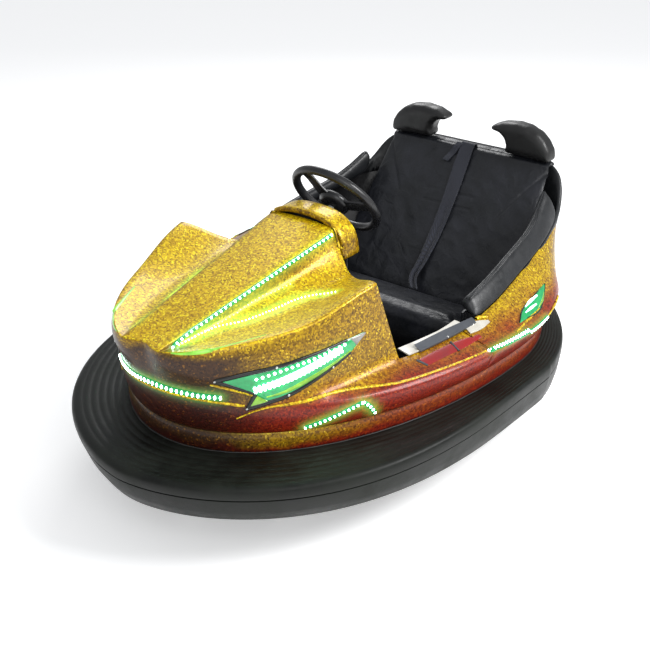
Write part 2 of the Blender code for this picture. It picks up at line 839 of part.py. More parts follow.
def make_drive():
    """Steered unit: a yoke on a kingpin with the driven wheel and its motor."""
    centre = Vector((DRIVE_X, 0, DRIVE_WHEEL_R))
    pivot = joint_empty("drive_unit_axis", centre)
    cheek = 0.008
    inner = DRIVE_WHEEL_W / 2 + RUN_GAP
    outer = inner + cheek
    low = DRIVE_WHEEL_R - 0.030
    top = 2 * DRIVE_WHEEL_R + 0.030
    outline = [
        (-outer, low),
        (-inner, low),
        (-inner, top - 0.012),
        (inner, top - 0.012),
        (inner, low),
        (outer, low),
        (outer, top),
        (-outer, top),
    ]
    half_length = 0.045
    place = Matrix.Translation((DRIVE_X - half_length, 0, 0)) @ FRONT_ON
    fork = prism("drive_fork", outline, 2 * half_length, "steel", place)
    kingpin_top = BRIDGE_Z + 0.006
    kingpin = Matrix.Translation((DRIVE_X, 0, (top - 0.006 + kingpin_top) / 2))
    cut(fork, cylinder("kingpin", 0.016, kingpin_top - top + 0.006, "steel", kingpin), "UNION")
    hang(fork, pivot, centre)

    pin = cylinder(
        "drive_axle",
        0.010,
        2 * (inner - GAP),
        "steel",
        Matrix.Translation(centre) @ AXLE_TURN,
        20,
    )
    hang(pin, pivot, centre)
    motor = box(
        "drive_motor",
        (DRIVE_X - 0.060, outer + GAP, DRIVE_WHEEL_R - 0.040),
        (DRIVE_X + 0.060, outer + 0.100, DRIVE_WHEEL_R + 0.075),
        "motor",
        0.012,
    )
    hang(motor, pivot, centre)
    roll = joint_empty("drive_wheel_axis", centre)
    make_wheel("drive", DRIVE_X, 0, DRIVE_WHEEL_R, DRIVE_WHEEL_W, 0.011, roll)

    leg_inner = DRIVE_SWEEP + RUN_GAP + 0.004
    leg_outer = leg_inner + 0.030
    floor_top = FLOOR_Z + FLOOR_WALL + GAP
    outline = [
        (-leg_outer, floor_top),
        (-leg_inner, floor_top),
        (-leg_inner, BRIDGE_Z),
        (leg_inner, BRIDGE_Z),
        (leg_inner, floor_top),
        (leg_outer, floor_top),
        (leg_outer, BRIDGE_Z + 0.006),
        (-leg_outer, BRIDGE_Z + 0.006),
    ]
    bridge_half = 0.060
    place = Matrix.Translation((DRIVE_X - bridge_half, 0, 0)) @ FRONT_ON
    bridge = prism("drive_bridge", outline, 2 * bridge_half, "steel", place)
    hole = Matrix.Translation((DRIVE_X, 0, BRIDGE_Z))
    cut(bridge, cylinder("kingpin_hole", 0.0165, 0.1, "steel", hole))


# Seat
def make_seat():
    floor_top = FLOOR_Z + FLOOR_WALL + GAP
    wall = 0.010
    base = box(
        "seat_base",
        (SEAT_REAR_X, -SEAT_HALF, floor_top),
        (SEAT_FRONT_X - 0.02, SEAT_HALF, SEAT_BASE_Z - GAP),
        "vinyl",
    )
    inside = box(
        "seat_base_inside",
        (SEAT_REAR_X + wall, -SEAT_HALF + wall, floor_top - 0.05),
        (SEAT_FRONT_X - 0.02 - wall, SEAT_HALF - wall, SEAT_BASE_Z - wall),
        "vinyl",
    )
    cut(base, inside)
    box(
        "battery_pack",
        (BATTERY_REAR_X, -BATTERY_HALF, floor_top),
        (BATTERY_FRONT_X, BATTERY_HALF, floor_top + BATTERY_HEIGHT),
        "motor",
        0.006,
    )
    outline = [
        (SEAT_REAR_X, SEAT_BASE_Z),
        (SEAT_FRONT_X - 0.02, SEAT_BASE_Z),
        (SEAT_FRONT_X, SEAT_BASE_Z + 0.03),
        (SEAT_FRONT_X, SEAT_Z - 0.03),
        (SEAT_FRONT_X - 0.03, SEAT_Z),
        (SEAT_FRONT_X - 0.13, SEAT_Z - 0.042),
        (SEAT_REAR_X, SEAT_REAR_Z),
    ]
    place = Matrix.Translation((0, SEAT_HALF, 0)) @ SIDE_ON
    prism("seat_cushion", outline, 2 * SEAT_HALF, "vinyl", place)

    foot = Vector((SEAT_REAR_X - GAP * 2, 0, SEAT_REAR_Z - 0.020))
    lean = (BACK_TOP - foot).normalized()
    length = (BACK_TOP - foot).length
    back_turn = Matrix(
        (
            (0, lean.x, -lean.z, foot.x),
            (1, 0, 0, 0),
            (0, lean.z, lean.x, foot.z),
            (0, 0, 0, 1),
        )
    )
    outline = [
        (-BACK_FOOT_HALF, 0),
        (BACK_FOOT_HALF, 0),
        (BACK_TOP_HALF, length),
        (-BACK_TOP_HALF, length),
    ]
    prism("seat_back", outline, BACK_THICK, "vinyl", back_turn)

    belt_half = 0.026
    strap = [
        (-belt_half, 0.03),
        (belt_half, 0.03),
        (belt_half, length - 0.01),
        (-belt_half, length - 0.01),
    ]
    place = back_turn @ Matrix.Translation((0, 0, -0.004 - GAP))
    prism("seat_belt", strap, 0.004, "webbing", place)


def arm_section(angle, sign):
    """Cross section of the padded rim, square to the body's edge."""
    edge = top_line(angle)
    share = smooth((edge.x - ARM_RISE_X) / (ARM_REAR_X - ARM_RISE_X))
    height = mix(ARM_HEIGHT, ARM_REAR_HEIGHT, share)
    inner = ARM_WIDTH + 0.012
    shape = [
        (-0.001, PAD_GAP),
        (0.014, height * 0.52),
        (ARM_WIDTH - 0.018, height * 0.95),
        (ARM_WIDTH, height),
        (inner, height * 0.8),
        (inner, PAD_LIFT),
        (0.002, PAD_GAP),
    ]
    inward = inward_of_edge(angle)
    points = [edge + inward * across + Vector((0, 0, up)) for across, up in shape]
    return [Vector((p.x, p.y * sign, p.z)) for p in points]


def inward_of_edge(angle):
    """Level direction from the body's upper edge towards the seat."""
    step = top_line(angle + 0.01) - top_line(angle - 0.01)
    inward = Vector((step.y, -step.x, 0)).normalized()
    return -inward if inward.y > 0 else inward


def edge_strip(name, angles, shape, material, sign):
    """A closed shape of (inwards, up) carried along the body's upper edge."""
    sections = []
    for angle in angles:
        edge, inward = top_line(angle), inward_of_edge(angle)
        points = [edge + inward * across + Vector((0, 0, up)) for across, up in shape]
        sections.append([Vector((p.x, p.y * sign, p.z)) for p in points])
    return add_object(name, loft(sections), material)


def make_side_panels():
    """Trimmed boards between the arm rests and the seat, and the tread plates on the sills."""
    liner_angles = [a for a in rear_angles() if LINER_REAR_X <= top_line(a).x <= LINER_FRONT_X]
    front, rear = (outline_angle(x, top_line) for x in (PLATE_FRONT_X, PLATE_REAR_X))
    plate_angles = [mix(front, rear, i / 6) for i in range(7)]
    inner = ARM_WIDTH - 0.002
    for side, sign in (("left", 1), ("right", -1)):
        sections = []
        for angle in liner_angles:
            edge, inward = top_line(angle), inward_of_edge(angle)
            top = edge.z + PAD_LIFT * 0.62
            points = [
                edge + inward * inner,
                edge + inward * (inner + LINER_WALL),
            ]
            low = [Vector((p.x, p.y * sign, LINER_LOW_Z)) for p in points]
            high = [Vector((p.x, p.y * sign, top)) for p in points]
            sections.append([low[0], low[1], high[1], high[0]])
        add_object(f"side_panel_{side}", loft(sections), "vinyl")
        shape = [(-0.004, PAD_GAP), (0.044, PAD_GAP), (0.044, 0.005), (-0.004, 0.005)]
        edge_strip(f"kick_plate_{side}", plate_angles, shape, "plate", sign)


def make_arms():
    angles = [a for a in rear_angles() if ARM_REAR_X <= top_line(a).x <= ARM_FRONT_X]
    for side, sign in (("left", 1), ("right", -1)):
        sections = [arm_section(angle, sign) for angle in angles]
        add_object(f"arm_pad_{side}", loft(sections), "vinyl")


FIN_OUTLINE = [
    (0.318, 0),
    (0.314, 0.735),
    (0.296, 0.764),
    (0.268, 0.789),
    (0.230, 0.805),
    (0.185, 0.811),
    (0.132, 0.806),
    (0.092, 0.792),
    (0.084, 0.783),
    (0.092, 0.776),
    (0.118, 0.767),
    (0.138, 0.747),
    (0.146, 0.725),
    (0.147, 0),
]


def make_pedal():
    low = FLOOR_Z + FLOOR_WALL + GAP
    x = DRIVE_X - DRIVE_SWEEP - 0.130
    outline = [(x, low), (x + 0.085, low), (x + 0.092, low + 0.070), (x + 0.082, low + 0.072)]
    place = Matrix.Translation((0, -0.090, 0)) @ SIDE_ON
    prism("accelerator_pedal", outline, 0.075, "plate", place)


def make_fins():
    for side, sign in (("left", 1), ("right", -1)):
        foot = BACK_TOP.z + 2 * GAP
        outline = [(y * sign, max(z, foot)) for y, z in FIN_OUTLINE]
        place = Matrix.Translation((TAIL_X + 0.006, 0, 0)) @ FRONT_ON
        prism(f"head_fin_{side}", outline, 0.060, "vinyl", place)


def build():
    for obj in list(bpy.data.objects):
        bpy.data.objects.remove(obj, do_unlink=True)
    make_chassis()
    make_ring()
    make_skirt()
    make_body()
    make_lamps()
    make_cowl()
    make_steering()
    make_rear_wheels()
    make_drive()
    make_seat()
    make_arms()
    make_side_panels()
    make_pedal()
    make_fins()


build()
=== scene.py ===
import json
from math import atan2, cos, exp, pi, radians, sin

import bmesh
import bpy
from mathutils import Matrix, Vector, noise
from mathutils.bvhtree import BVHTree


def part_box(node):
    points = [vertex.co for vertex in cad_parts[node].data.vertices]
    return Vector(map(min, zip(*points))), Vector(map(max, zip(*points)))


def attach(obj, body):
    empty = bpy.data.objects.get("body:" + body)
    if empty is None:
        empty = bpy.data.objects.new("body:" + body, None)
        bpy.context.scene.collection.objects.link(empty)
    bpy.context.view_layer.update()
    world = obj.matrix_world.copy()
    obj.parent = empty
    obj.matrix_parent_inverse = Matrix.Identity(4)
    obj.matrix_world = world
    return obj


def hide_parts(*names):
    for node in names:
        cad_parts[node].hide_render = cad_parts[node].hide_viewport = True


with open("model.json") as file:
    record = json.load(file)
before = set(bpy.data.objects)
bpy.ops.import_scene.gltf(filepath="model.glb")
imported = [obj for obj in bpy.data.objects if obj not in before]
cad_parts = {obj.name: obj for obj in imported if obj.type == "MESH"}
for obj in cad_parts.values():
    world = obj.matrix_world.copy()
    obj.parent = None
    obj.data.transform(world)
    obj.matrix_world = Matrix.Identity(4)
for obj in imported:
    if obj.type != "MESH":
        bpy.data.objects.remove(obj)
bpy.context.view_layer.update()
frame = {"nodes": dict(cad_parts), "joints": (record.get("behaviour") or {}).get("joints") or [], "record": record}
nodes = frame["nodes"]
scene = bpy.context.scene
scene.view_settings.view_transform = "Standard"  # keeps the gel-coat yellow


# small helpers for meshes
def copyOfNode(node):
    bm = bmesh.new()
    bm.from_mesh(nodes[node].data)
    bmesh.ops.remove_doubles(bm, verts=bm.verts, dist=0.00003)
    return bm


def addObject(name, bm, material, smoothAngle=40):
    mesh = bpy.data.meshes.new(name)
    bm.to_mesh(mesh)
    bm.free()
    obj = bpy.data.objects.new(name, mesh)
    scene.collection.objects.link(obj)
    mesh.materials.append(material)
    mesh.shade_smooth()
    if smoothAngle < 180:
        mesh.set_sharp_from_angle(angle=radians(smoothAngle))
    return obj


def addPiece(name, bm, material, body, replaced=(), smoothAngle=40):
    obj = addObject(name, bm, material, smoothAngle)
    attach(obj, body)
    if replaced:
        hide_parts(*replaced)
    return obj


def subdivide(obj, levels):
    mod = obj.modifiers.new("Subdivision", "SUBSURF")
    mod.levels = levels
    mod.render_levels = levels


def roundEdges(obj, width, segments=2, angle=35):
    mod = obj.modifiers.new("Bevel", "BEVEL")
    mod.width = width
    mod.segments = segments
    mod.limit_method = "ANGLE"
    mod.angle_limit = radians(angle)


def applyModifiers(obj):
    deps = bpy.context.evaluated_depsgraph_get()
    mesh = bpy.data.meshes.new_from_object(obj.evaluated_get(deps))
    old = obj.data
    obj.modifiers.clear()
    obj.data = mesh
    bpy.data.meshes.remove(old)
    return obj


# a sheet of quads, each corner put by place(u, v) with u and v from 0 to 1
def surface(along, across, place):
    bm = bmesh.new()
    bmesh.ops.create_grid(bm, x_segments=along, y_segments=across, size=0.5)
    for vert in bm.verts:
        vert.co = place(vert.co.x + 0.5, vert.co.y + 0.5)
    return bm


def closeSurface(bm):
    bmesh.ops.remove_doubles(bm, verts=bm.verts, dist=0.00002)
    bmesh.ops.holes_fill(bm, edges=bm.edges, sides=0)
    bmesh.ops.recalc_face_normals(bm, faces=bm.faces)
    return bm


def thicken(bm, thickness):
    bmesh.ops.solidify(bm, geom=bm.faces, thickness=thickness)
    bmesh.ops.recalc_face_normals(bm, faces=bm.faces)
    return bm


def smoothStep(low, high, value):
    t = min(max((value - low) / (high - low), 0.0), 1.0)
    return t * t * (3 - 2 * t)


# a smooth curve through points, read at t from 0 to 1
def through(points, t, loop=False):
    count = len(points)
    spans = count if loop else count - 1
    at = min(max(t, 0.0), 1.0) * spans
    i = min(int(at), spans - 1)
    f = at - i
    around = [k % count if loop else min(max(k, 0), count - 1) for k in (i - 1, i, i + 1, i + 2)]
    a, b, c, d = (Vector(points[k]) for k in around)
    curve = 2 * b + (c - a) * f + (2 * a - 5 * b + 4 * c - d) * f * f
    return 0.5 * (curve + (3 * b - a - 3 * c + d) * f**3)


# evenly spaced points on that curve
def evenly(points, count):
    fine = [through(points, i / 240) for i in range(241)]
    runs = [0.0]
    for a, b in zip(fine, fine[1:]):
        runs.append(runs[-1] + (b - a).length)
    out = []
    j = 0
    for i in range(count):
        want = runs[-1] * i / (count - 1)
        while j < 239 and runs[j + 1] < want:
            j += 1
        span = runs[j + 1] - runs[j]
        out.append(fine[j].lerp(fine[j + 1], (want - runs[j]) / span if span else 0))
    return out


def mirrored(points):
    return [(p[0], -p[1], p[2]) for p in points]


# small helpers for materials
def newMaterial(name, color, roughness, metallic=0.0, coat=0.0, specular=0.5):
    mat = bpy.data.materials.new(name)
    mat.use_nodes = True
    shader = mat.node_tree.nodes["Principled BSDF"]
    shader.inputs["Base Color"].default_value = (*color, 1)
    shader.inputs["Roughness"].default_value = roughness
    shader.inputs["Metallic"].default_value = metallic
    shader.inputs["Coat Weight"].default_value = coat
    shader.inputs["Coat Roughness"].default_value = 0.06
    shader.inputs["Specular IOR Level"].default_value = specular
    return mat


def addNode(mat, kind, values=None, **settings):
    new = mat.node_tree.nodes.new("ShaderNode" + kind)
    for key, value in settings.items():
        setattr(new, key, value)
    for key, value in (values or {}).items():
        new.inputs[key].default_value = value
    return new


def join(mat, source, output, target, socket):
    mat.node_tree.links.new(source.outputs[output], target.inputs[socket])


def shaderOf(mat):
    return mat.node_tree.nodes["Principled BSDF"]


# links a (node, output) pair to a socket of the main shader
def feed(mat, pair, socket):
    mat.node_tree.links.new(pair[0].outputs[pair[1]], shaderOf(mat).inputs[socket])


def ramp(mat, source, output, stops):
    new = addNode(mat, "ValToRGB")
    elements = new.color_ramp.elements
    while len(elements) < len(stops):
        elements.new(0.5)
    for element, (place, color) in zip(elements, stops):
        element.position = place
        element.color = (*color, 1)
    join(mat, source, output, new, "Fac")
    return new


def mixColor(mat, factor, first, second, blend="MIX"):
    new = addNode(mat, "Mix", data_type="RGBA", blend_type=blend)
    for value, index in ((factor, 0), (first, 6), (second, 7)):
        if isinstance(value, tuple) and not hasattr(value[0], "outputs"):
            new.inputs[index].default_value = (*value, 1)
        elif isinstance(value, tuple):
            mat.node_tree.links.new(value[0].outputs[value[1]], new.inputs[index])
        else:
            new.inputs[index].default_value = value
    return (new, 2)


def mapRange(mat, source, lows, highs, kind="SMOOTHSTEP"):
    new = addNode(mat, "MapRange", interpolation_type=kind)
    for key, value in zip(("From Min", "From Max", "To Min", "To Max"), (*lows, *highs)):
        new.inputs[key].default_value = value
    mat.node_tree.links.new(source[0].outputs[source[1]], new.inputs["Value"])
    return (new, 0)


def times(mat, first, second, operation="MULTIPLY"):
    new = addNode(mat, "Math", operation=operation)
    for value, index in ((first, 0), (second, 1)):
        if isinstance(value, tuple):
            mat.node_tree.links.new(value[0].outputs[value[1]], new.inputs[index])
        else:
            new.inputs[index].default_value = value
    return (new, 0)


# colors one of the main shader's sockets from a texture
def shade(mat, source, output, stops, socket="Base Color"):
    join(mat, ramp(mat, source, output, stops), "Color", shaderOf(mat), socket)


def unevenGloss(mat, source, low, high):
    feed(mat, mapRange(mat, (source, "Fac"), (0.3, 0.7), (low, high), "LINEAR"), "Roughness")


def textured(mat, kind, values, vectorScale=None, **settings):
    coords = addNode(mat, "TexCoord")
    new = addNode(mat, kind, values, **settings)
    if vectorScale:
        mapping = addNode(mat, "Mapping")
        mapping.inputs["Scale"].default_value = vectorScale
        join(mat, coords, "Object", mapping, "Vector")
        join(mat, mapping, "Vector", new, "Vector")
    else:
        join(mat, coords, "Object", new, "Vector")
    return new


def bumps(mat, layers):
    last = None
    for source, output, strength, distance in layers:
        new = addNode(mat, "Bump", {"Strength": strength, "Distance": distance})
        join(mat, source, output, new, "Height")
        if last:
            join(mat, last, "Normal", new, "Normal")
        last = new
    join(mat, last, "Normal", shaderOf(mat), "Normal")


# glitter gel-coat: flakes under a clear coat, painted shade darkening near-vertical faces, dark red low down, and
# a painted green glow near the lamp strips
def glitterCoat(name, low=(0.47, 0.40), trim=False, noseOnly=False):
    mat = newMaterial(name, (0.6, 0.36, 0.0), 0.36, 0.15, coat=0.16, specular=0.35)
    flakes = textured(mat, "TexVoronoi", {"Scale": 210.0})
    fine = textured(mat, "TexVoronoi", {"Scale": 700.0})
    cloud = textured(mat, "TexNoise", {"Scale": 9.0, "Detail": 3.0})
    shades = {
        "gold": [(0.0, (0.13, 0.06, 0.0)), (0.3, (0.42, 0.24, 0.0)), (0.65, (0.66, 0.43, 0.0)),
                 (1.0, (0.98, 0.85, 0.02))],
        # a duller tone, used for the real rearward tone and as painted shade on near-vertical faces
        "brown": [(0.0, (0.05, 0.02, 0.0)), (0.5, (0.20, 0.10, 0.0)), (0.85, (0.38, 0.21, 0.0)),
                  (1.0, (0.9, 0.65, 0.04))],
        "red": [(0.0, (0.06, 0.003, 0.001)), (0.6, (0.22, 0.012, 0.003)), (0.93, (0.32, 0.028, 0.003)),
                (1.0, (0.6, 0.16, 0.01))],
        "maroon": [(0.0, (0.010, 0.003, 0.001)), (0.8, (0.035, 0.007, 0.004)), (1.0, (0.24, 0.08, 0.006))],
    }
    gold, brown, red, maroon = (ramp(mat, flakes, "Color", stops) for stops in shades.values())
    geometry = addNode(mat, "NewGeometry")
    facing = addNode(mat, "SeparateXYZ")
    join(mat, geometry, "Normal", facing, "Vector")
    coords = addNode(mat, "TexCoord")
    place = addNode(mat, "SeparateXYZ")
    join(mat, coords, "Object", place, "Vector")
    wander = mapRange(mat, (cloud, "Fac"), (0.3, 0.7), (-0.012, 0.012), "LINEAR")
    height = times(mat, (place, "Z"), wander, "ADD")
    color = (gold, "Color")
    if not trim:
        rearwards = mapRange(mat, (place, "X"), (0.0, -0.34), (0.0, 0.55))
        color = mixColor(mat, rearwards, color, (brown, "Color"))
        # painted shade: faces that stand near-vertical are mixed towards the duller tone to stand in for their
        # shading
        paintedUprightShade = mapRange(mat, (facing, "Z"), (0.66, 0.20), (0.0, 0.9))
        color = mixColor(mat, paintedUprightShade, color, (brown, "Color"))
        lowDown = mapRange(mat, height, low, (0.0, 1.0))
        color = mixColor(mat, lowDown, color, (red, "Color"))
        if noseOnly:  # gold round the nose, red along the sides
            behind = mapRange(mat, (place, "X"), (0.56, 0.24), (0.0, 0.85))
            color = mixColor(mat, behind, color, (red, "Color"))
        ahead = mapRange(mat, (place, "X"), (0.54, 0.68), (0.0, 1.0))
        under = mapRange(mat, height, (0.592, 0.566), (0.0, 0.93))
        color = mixColor(mat, times(mat, ahead, under), color, (maroon, "Color"))
    inner = addNode(mat, "Attribute", attribute_name="innerWall")
    color = mixColor(mat, (inner, "Fac"), color, (0.012, 0.012, 0.013))
    feed(mat, color, "Base Color")
    # painted glow: the lampGlow attribute makes the gel-coat itself give out green light near the strips
    glow = addNode(mat, "Attribute", attribute_name="lampGlow")
    strength = times(mat, (glow, "Fac"), 1.1)
    shaderOf(mat).inputs["Emission Color"].default_value = (0.22, 0.85, 0.10, 1)
    feed(mat, strength, "Emission Strength")
    bumps(mat, [(flakes, "Color", 0.5, 0.0010), (fine, "Color", 0.25, 0.0003)])
    return mat


def rubber(name, color, scuff, rough=0.55):
    mat = newMaterial(name, color, rough, specular=0.22)
    cloud = textured(mat, "TexNoise", {"Scale": 7.0, "Detail": 6.0, "Roughness": 0.65})
    grain = textured(mat, "TexNoise", {"Scale": 420.0, "Detail": 3.0})
    shade(mat, cloud, "Fac", [(0.35, color), (0.62, scuff)])
    unevenGloss(mat, cloud, rough - 0.14, rough + 0.16)
    bumps(mat, [(grain, "Fac", 0.35, 0.0008), (cloud, "Fac", 0.25, 0.003)])
    return mat


def vinyl(name, color, worn, creases=0.5):
    mat = newMaterial(name, color, 0.42, specular=0.45)
    cloud = textured(mat, "TexNoise", {"Scale": 11.0, "Detail": 5.0, "Roughness": 0.6})
    shade(mat, cloud, "Fac", [(0.36, color), (0.68, worn)])
    pores = textured(mat, "TexVoronoi", {"Scale": 700.0}, feature="DISTANCE_TO_EDGE")
    folds = textured(mat, "TexNoise", {"Scale": 26.0, "Detail": 4.0, "Distortion": 1.2})
    unevenGloss(mat, folds, 0.32, 0.52)
    bumps(mat, [(pores, "Distance", 0.25, 0.0005), (folds, "Fac", creases, 0.005)])
    return mat


def painted(name, color, dirt, rough=0.45, metallic=0.0):
    mat = newMaterial(name, color, rough, metallic)
    cloud = textured(mat, "TexNoise", {"Scale": 18.0, "Detail": 6.0})
    peel = textured(mat, "TexNoise", {"Scale": 260.0, "Detail": 2.0})
    shade(mat, cloud, "Fac", [(0.4, color), (0.7, dirt)])
    unevenGloss(mat, cloud, rough - 0.1, rough + 0.15)
    bumps(mat, [(peel, "Fac", 0.15, 0.0006)])
    return mat


def brushedSteel(name, color=(0.62, 0.62, 0.60), rough=0.34):
    mat = newMaterial(name, color, rough, 0.9)
    scratches = textured(mat, "TexNoise", {"Scale": 60.0, "Detail": 5.0}, (1.0, 18.0, 1.0))
    cloud = textured(mat, "TexNoise", {"Scale": 14.0, "Detail": 4.0})
    shade(mat, cloud, "Fac", [(0.35, color), (0.75, tuple(0.72 * c for c in color))])
    unevenGloss(mat, scratches, rough - 0.1, rough + 0.14)
    bumps(mat, [(scratches, "Fac", 0.12, 0.0004)])
    return mat


def webbing(name, color, light):
    mat = newMaterial(name, color, 0.75)
    weave = textured(mat, "TexWave", {"Scale": 190.0, "Distortion": 0.4}, bands_direction="DIAGONAL")
    cross = textured(mat, "TexWave", {"Scale": 230.0, "Distortion": 0.3}, bands_direction="X")
    shade(mat, weave, "Color", [(0.2, color), (0.9, light)])
    shaderOf(mat).inputs["Sheen Weight"].default_value = 0.3
    bumps(mat, [(weave, "Color", 0.5, 0.0008), (cross, "Color", 0.4, 0.0006)])
    return mat


def lit(name, color, light, strength, rough=0.2):
    mat = newMaterial(name, color, rough, coat=0.5)
    patches = textured(mat, "TexNoise", {"Scale": 45.0, "Detail": 2.0})
    shade(mat, patches, "Fac", [(0.3, tuple(0.6 * c for c in color)), (0.7, color)])
    shade(mat, patches, "Fac", [(0.25, tuple(0.7 * c for c in light)), (0.75, light)], "Emission Color")
    shaderOf(mat).inputs["Emission Strength"].default_value = strength
    bumps(mat, [(patches, "Fac", 0.1, 0.0005)])
    return mat


finish = {
    "gold": glitterCoat("goldGlitter"),
    "skirt": glitterCoat("skirtGlitter", (0.312, 0.286), noseOnly=True),
    "pinstripe": glitterCoat("goldLine", trim=True),
    "ring": rubber("ringRubber", (0.0035, 0.0042, 0.0035), (0.010, 0.012, 0.009), 0.46),
    "tyre": rubber("tyreRubber", (0.012, 0.012, 0.012), (0.05, 0.045, 0.04)),
    "vinyl": vinyl("seatVinyl", (0.006, 0.007, 0.009), (0.013, 0.014, 0.019), 0.65),
    "armVinyl": vinyl("armVinyl", (0.006, 0.007, 0.008), (0.013, 0.014, 0.016), 0.12),
    "finVinyl": vinyl("finVinyl", (0.006, 0.006, 0.006), (0.012, 0.012, 0.012), 0.12),
    "wheelPlastic": painted("wheelPlastic", (0.008, 0.008, 0.009), (0.016, 0.016, 0.017), 0.28),
    "frame": painted("framePaint", (0.022, 0.023, 0.025), (0.05, 0.045, 0.04)),
    "motor": painted("motorPaint", (0.06, 0.075, 0.09), (0.10, 0.10, 0.095)),
    "battery": painted("batteryCase", (0.012, 0.012, 0.014), (0.04, 0.038, 0.035), 0.5),
    "steel": brushedSteel("bareSteel"),
    "plate": painted("platePaint", (0.62, 0.60, 0.54), (0.45, 0.42, 0.36), 0.35),
    "tread": brushedSteel("treadPlate", (0.16, 0.17, 0.19), 0.4),
    "redPanel": painted("redPanel", (0.30, 0.012, 0.012), (0.20, 0.01, 0.012), 0.3),
    "webbing": webbing("beltWebbing", (0.006, 0.007, 0.013), (0.016, 0.019, 0.034)),
    "lens": lit("lampLens", (0.01, 0.30, 0.09), (0.02, 0.50, 0.14), 0.35),
    "lensPale": lit("lampLensCore", (0.4, 0.8, 0.65), (0.35, 0.95, 0.75), 1.0),
    "lensTip": painted("lampTip", (0.28, 0.27, 0.25), (0.16, 0.15, 0.14), 0.25),
    "lampFrame": painted("lampFrame", (0.006, 0.008, 0.007), (0.012, 0.014, 0.012), 0.25),
    "strip": lit("stripSilicone", (0.005, 0.25, 0.07), (0.0, 0.42, 0.10), 0.55),
    "lampGlow": lit("lampGlow", (0.5, 0.95, 0.75), (0.45, 1.0, 0.72), 4.5),
    "limeRim": lit("lampLimeRim", (0.20, 0.42, 0.03), (0.22, 0.50, 0.04), 0.30),
    "diode": lit("stripDiodes", (0.8, 1.0, 0.9), (0.66, 1.0, 0.84), 14.0),
    "paleDiode": lit("crestDiodes", (0.8, 1.0, 0.6), (0.7, 1.0, 0.45), 1.8),
    "crestStrip": lit("crestSilicone", (0.25, 0.62, 0.05), (0.25, 0.75, 0.06), 0.35),
}


# the two body mouldings, as smooth shells
print("body mouldings")


def shell(name, node, material, levels=2, creaseAngle=42):
    bm = copyOfNode(node)
    limits = {"angle_face_threshold": radians(35), "angle_shape_threshold": radians(50)}
    bmesh.ops.join_triangles(bm, faces=bm.faces, **limits)
    layer = bm.edges.layers.float.new("crease_edge")
    for edge in bm.edges:
        if edge.calc_face_angle(0.0) > radians(creaseAngle):
            edge[layer] = 0.72
    obj = addPiece(name, bm, material, "chassis", (node,), 180)
    subdivide(obj, levels)
    return applyModifiers(obj)


skins = [shell("frontMoulding", "front_body", finish["gold"]),
         shell("rearMoulding", "rear_body", finish["gold"])]
shell("skirtBand", "lower_skirt", finish["skirt"])
hoop = shell("cowlHoop", "cowl_hoop", finish["gold"])


# only the outer faces of a shell, so that what lies on the skin never lands on its inner wall
def outerTree(obj):
    bm = bmesh.new()
    bm.from_mesh(obj.data)
    inside = []
    for face in bm.faces:
        spot = face.calc_center_median()
        core = Vector((spot.x * 0.6 - 0.05, 0, 0.30))
        if face.normal.dot(spot - core) < 0:
            inside.append(face)
    insideSet = set(inside)
    outerVerts = {vert.index for face in bm.faces if face not in insideSet for vert in face.verts}
    layer = obj.data.attributes.new("innerWall", "FLOAT", "POINT")
    layer.data.foreach_set("value", [float(i not in outerVerts) for i in range(len(obj.data.vertices))])
    bmesh.ops.delete(bm, geom=inside, context="FACES")
    tree = BVHTree.FromBMesh(bm)
    bm.free()
    return tree


skinTrees = [outerTree(obj) for obj in (*skins, hoop)]


def onSkin(point, lift=0.0):
    hits = [tree.find_nearest(Vector(point)) for tree in skinTrees]
    place, normal, _, _ = min(hits, key=lambda hit: hit[3])
    return place + normal * lift, normal


# a low domed head of a screw or rivet, standing on the skin
def addHead(bm, spot, lift, radius, high, segments):
    place, normal = onSkin(spot, lift)
    turn = normal.to_track_quat("Z", "Y").to_matrix().to_4x4()
    shape = Matrix.Diagonal((radius, radius, high, 1))
    bmesh.ops.create_uvsphere(bm, u_segments=segments, v_segments=6, radius=1.0,
                              matrix=Matrix.Translation(place) @ turn @ shape)


# with a direction for up, the path stays where its points are
def skinPath(points, count, up=None):
    path = [(p, Vector(up).normalized()) if up else onSkin(p) for p in evenly(points, count)]
    out = []
    for i, (place, normal) in enumerate(path):
        ahead = path[min(i + 1, count - 1)][0] - path[max(i - 1, 0)][0]
        side = normal.cross(ahead).normalized()
        out.append((place, normal, side, ahead.normalized()))
    return out


# a raised band that follows the skin along a path
def skinBand(name, points, widths, height, material, count=60, rounded=True, up=None):
    path = skinPath(points, count + 1, up)

    def place(u, v):
        at, normal, side, _ = path[round(u * count)]
        width = through([(w, 0, 0) for w in widths], u).x
        angle = pi * v
        rise = sin(angle) ** 0.6 if rounded else (1.0 if 0.01 < v < 0.99 else 0.0)
        return at + side * (cos(angle) * width / 2) + normal * (height * rise - 0.0012)

    return addPiece(name, thicken(surface(count, 8, place), 0.0008), material, "chassis")


glowPoints = []


# rows of small domed diodes
def diodes(name, points, count, radius, lift, material, stretch=1.0, offsets=(0.0,), glow=0.0):
    bm = bmesh.new()
    for i, (place, normal, side, ahead) in enumerate(skinPath(points, count)):
        for offset in offsets:
            turn = Matrix((ahead, side * -1, normal)).transposed().to_4x4()
            shape = Matrix.Diagonal((radius, radius * stretch, radius * 0.7, 1))
            spot = Matrix.Translation(place + normal * lift + side * offset)
            bmesh.ops.create_icosphere(bm, subdivisions=1, radius=1.0, matrix=spot @ turn @ shape)
        if glow:
            glowPoints.append((place, normal, glow))
    return addPiece(name, bm, material, "chassis", (), 180)


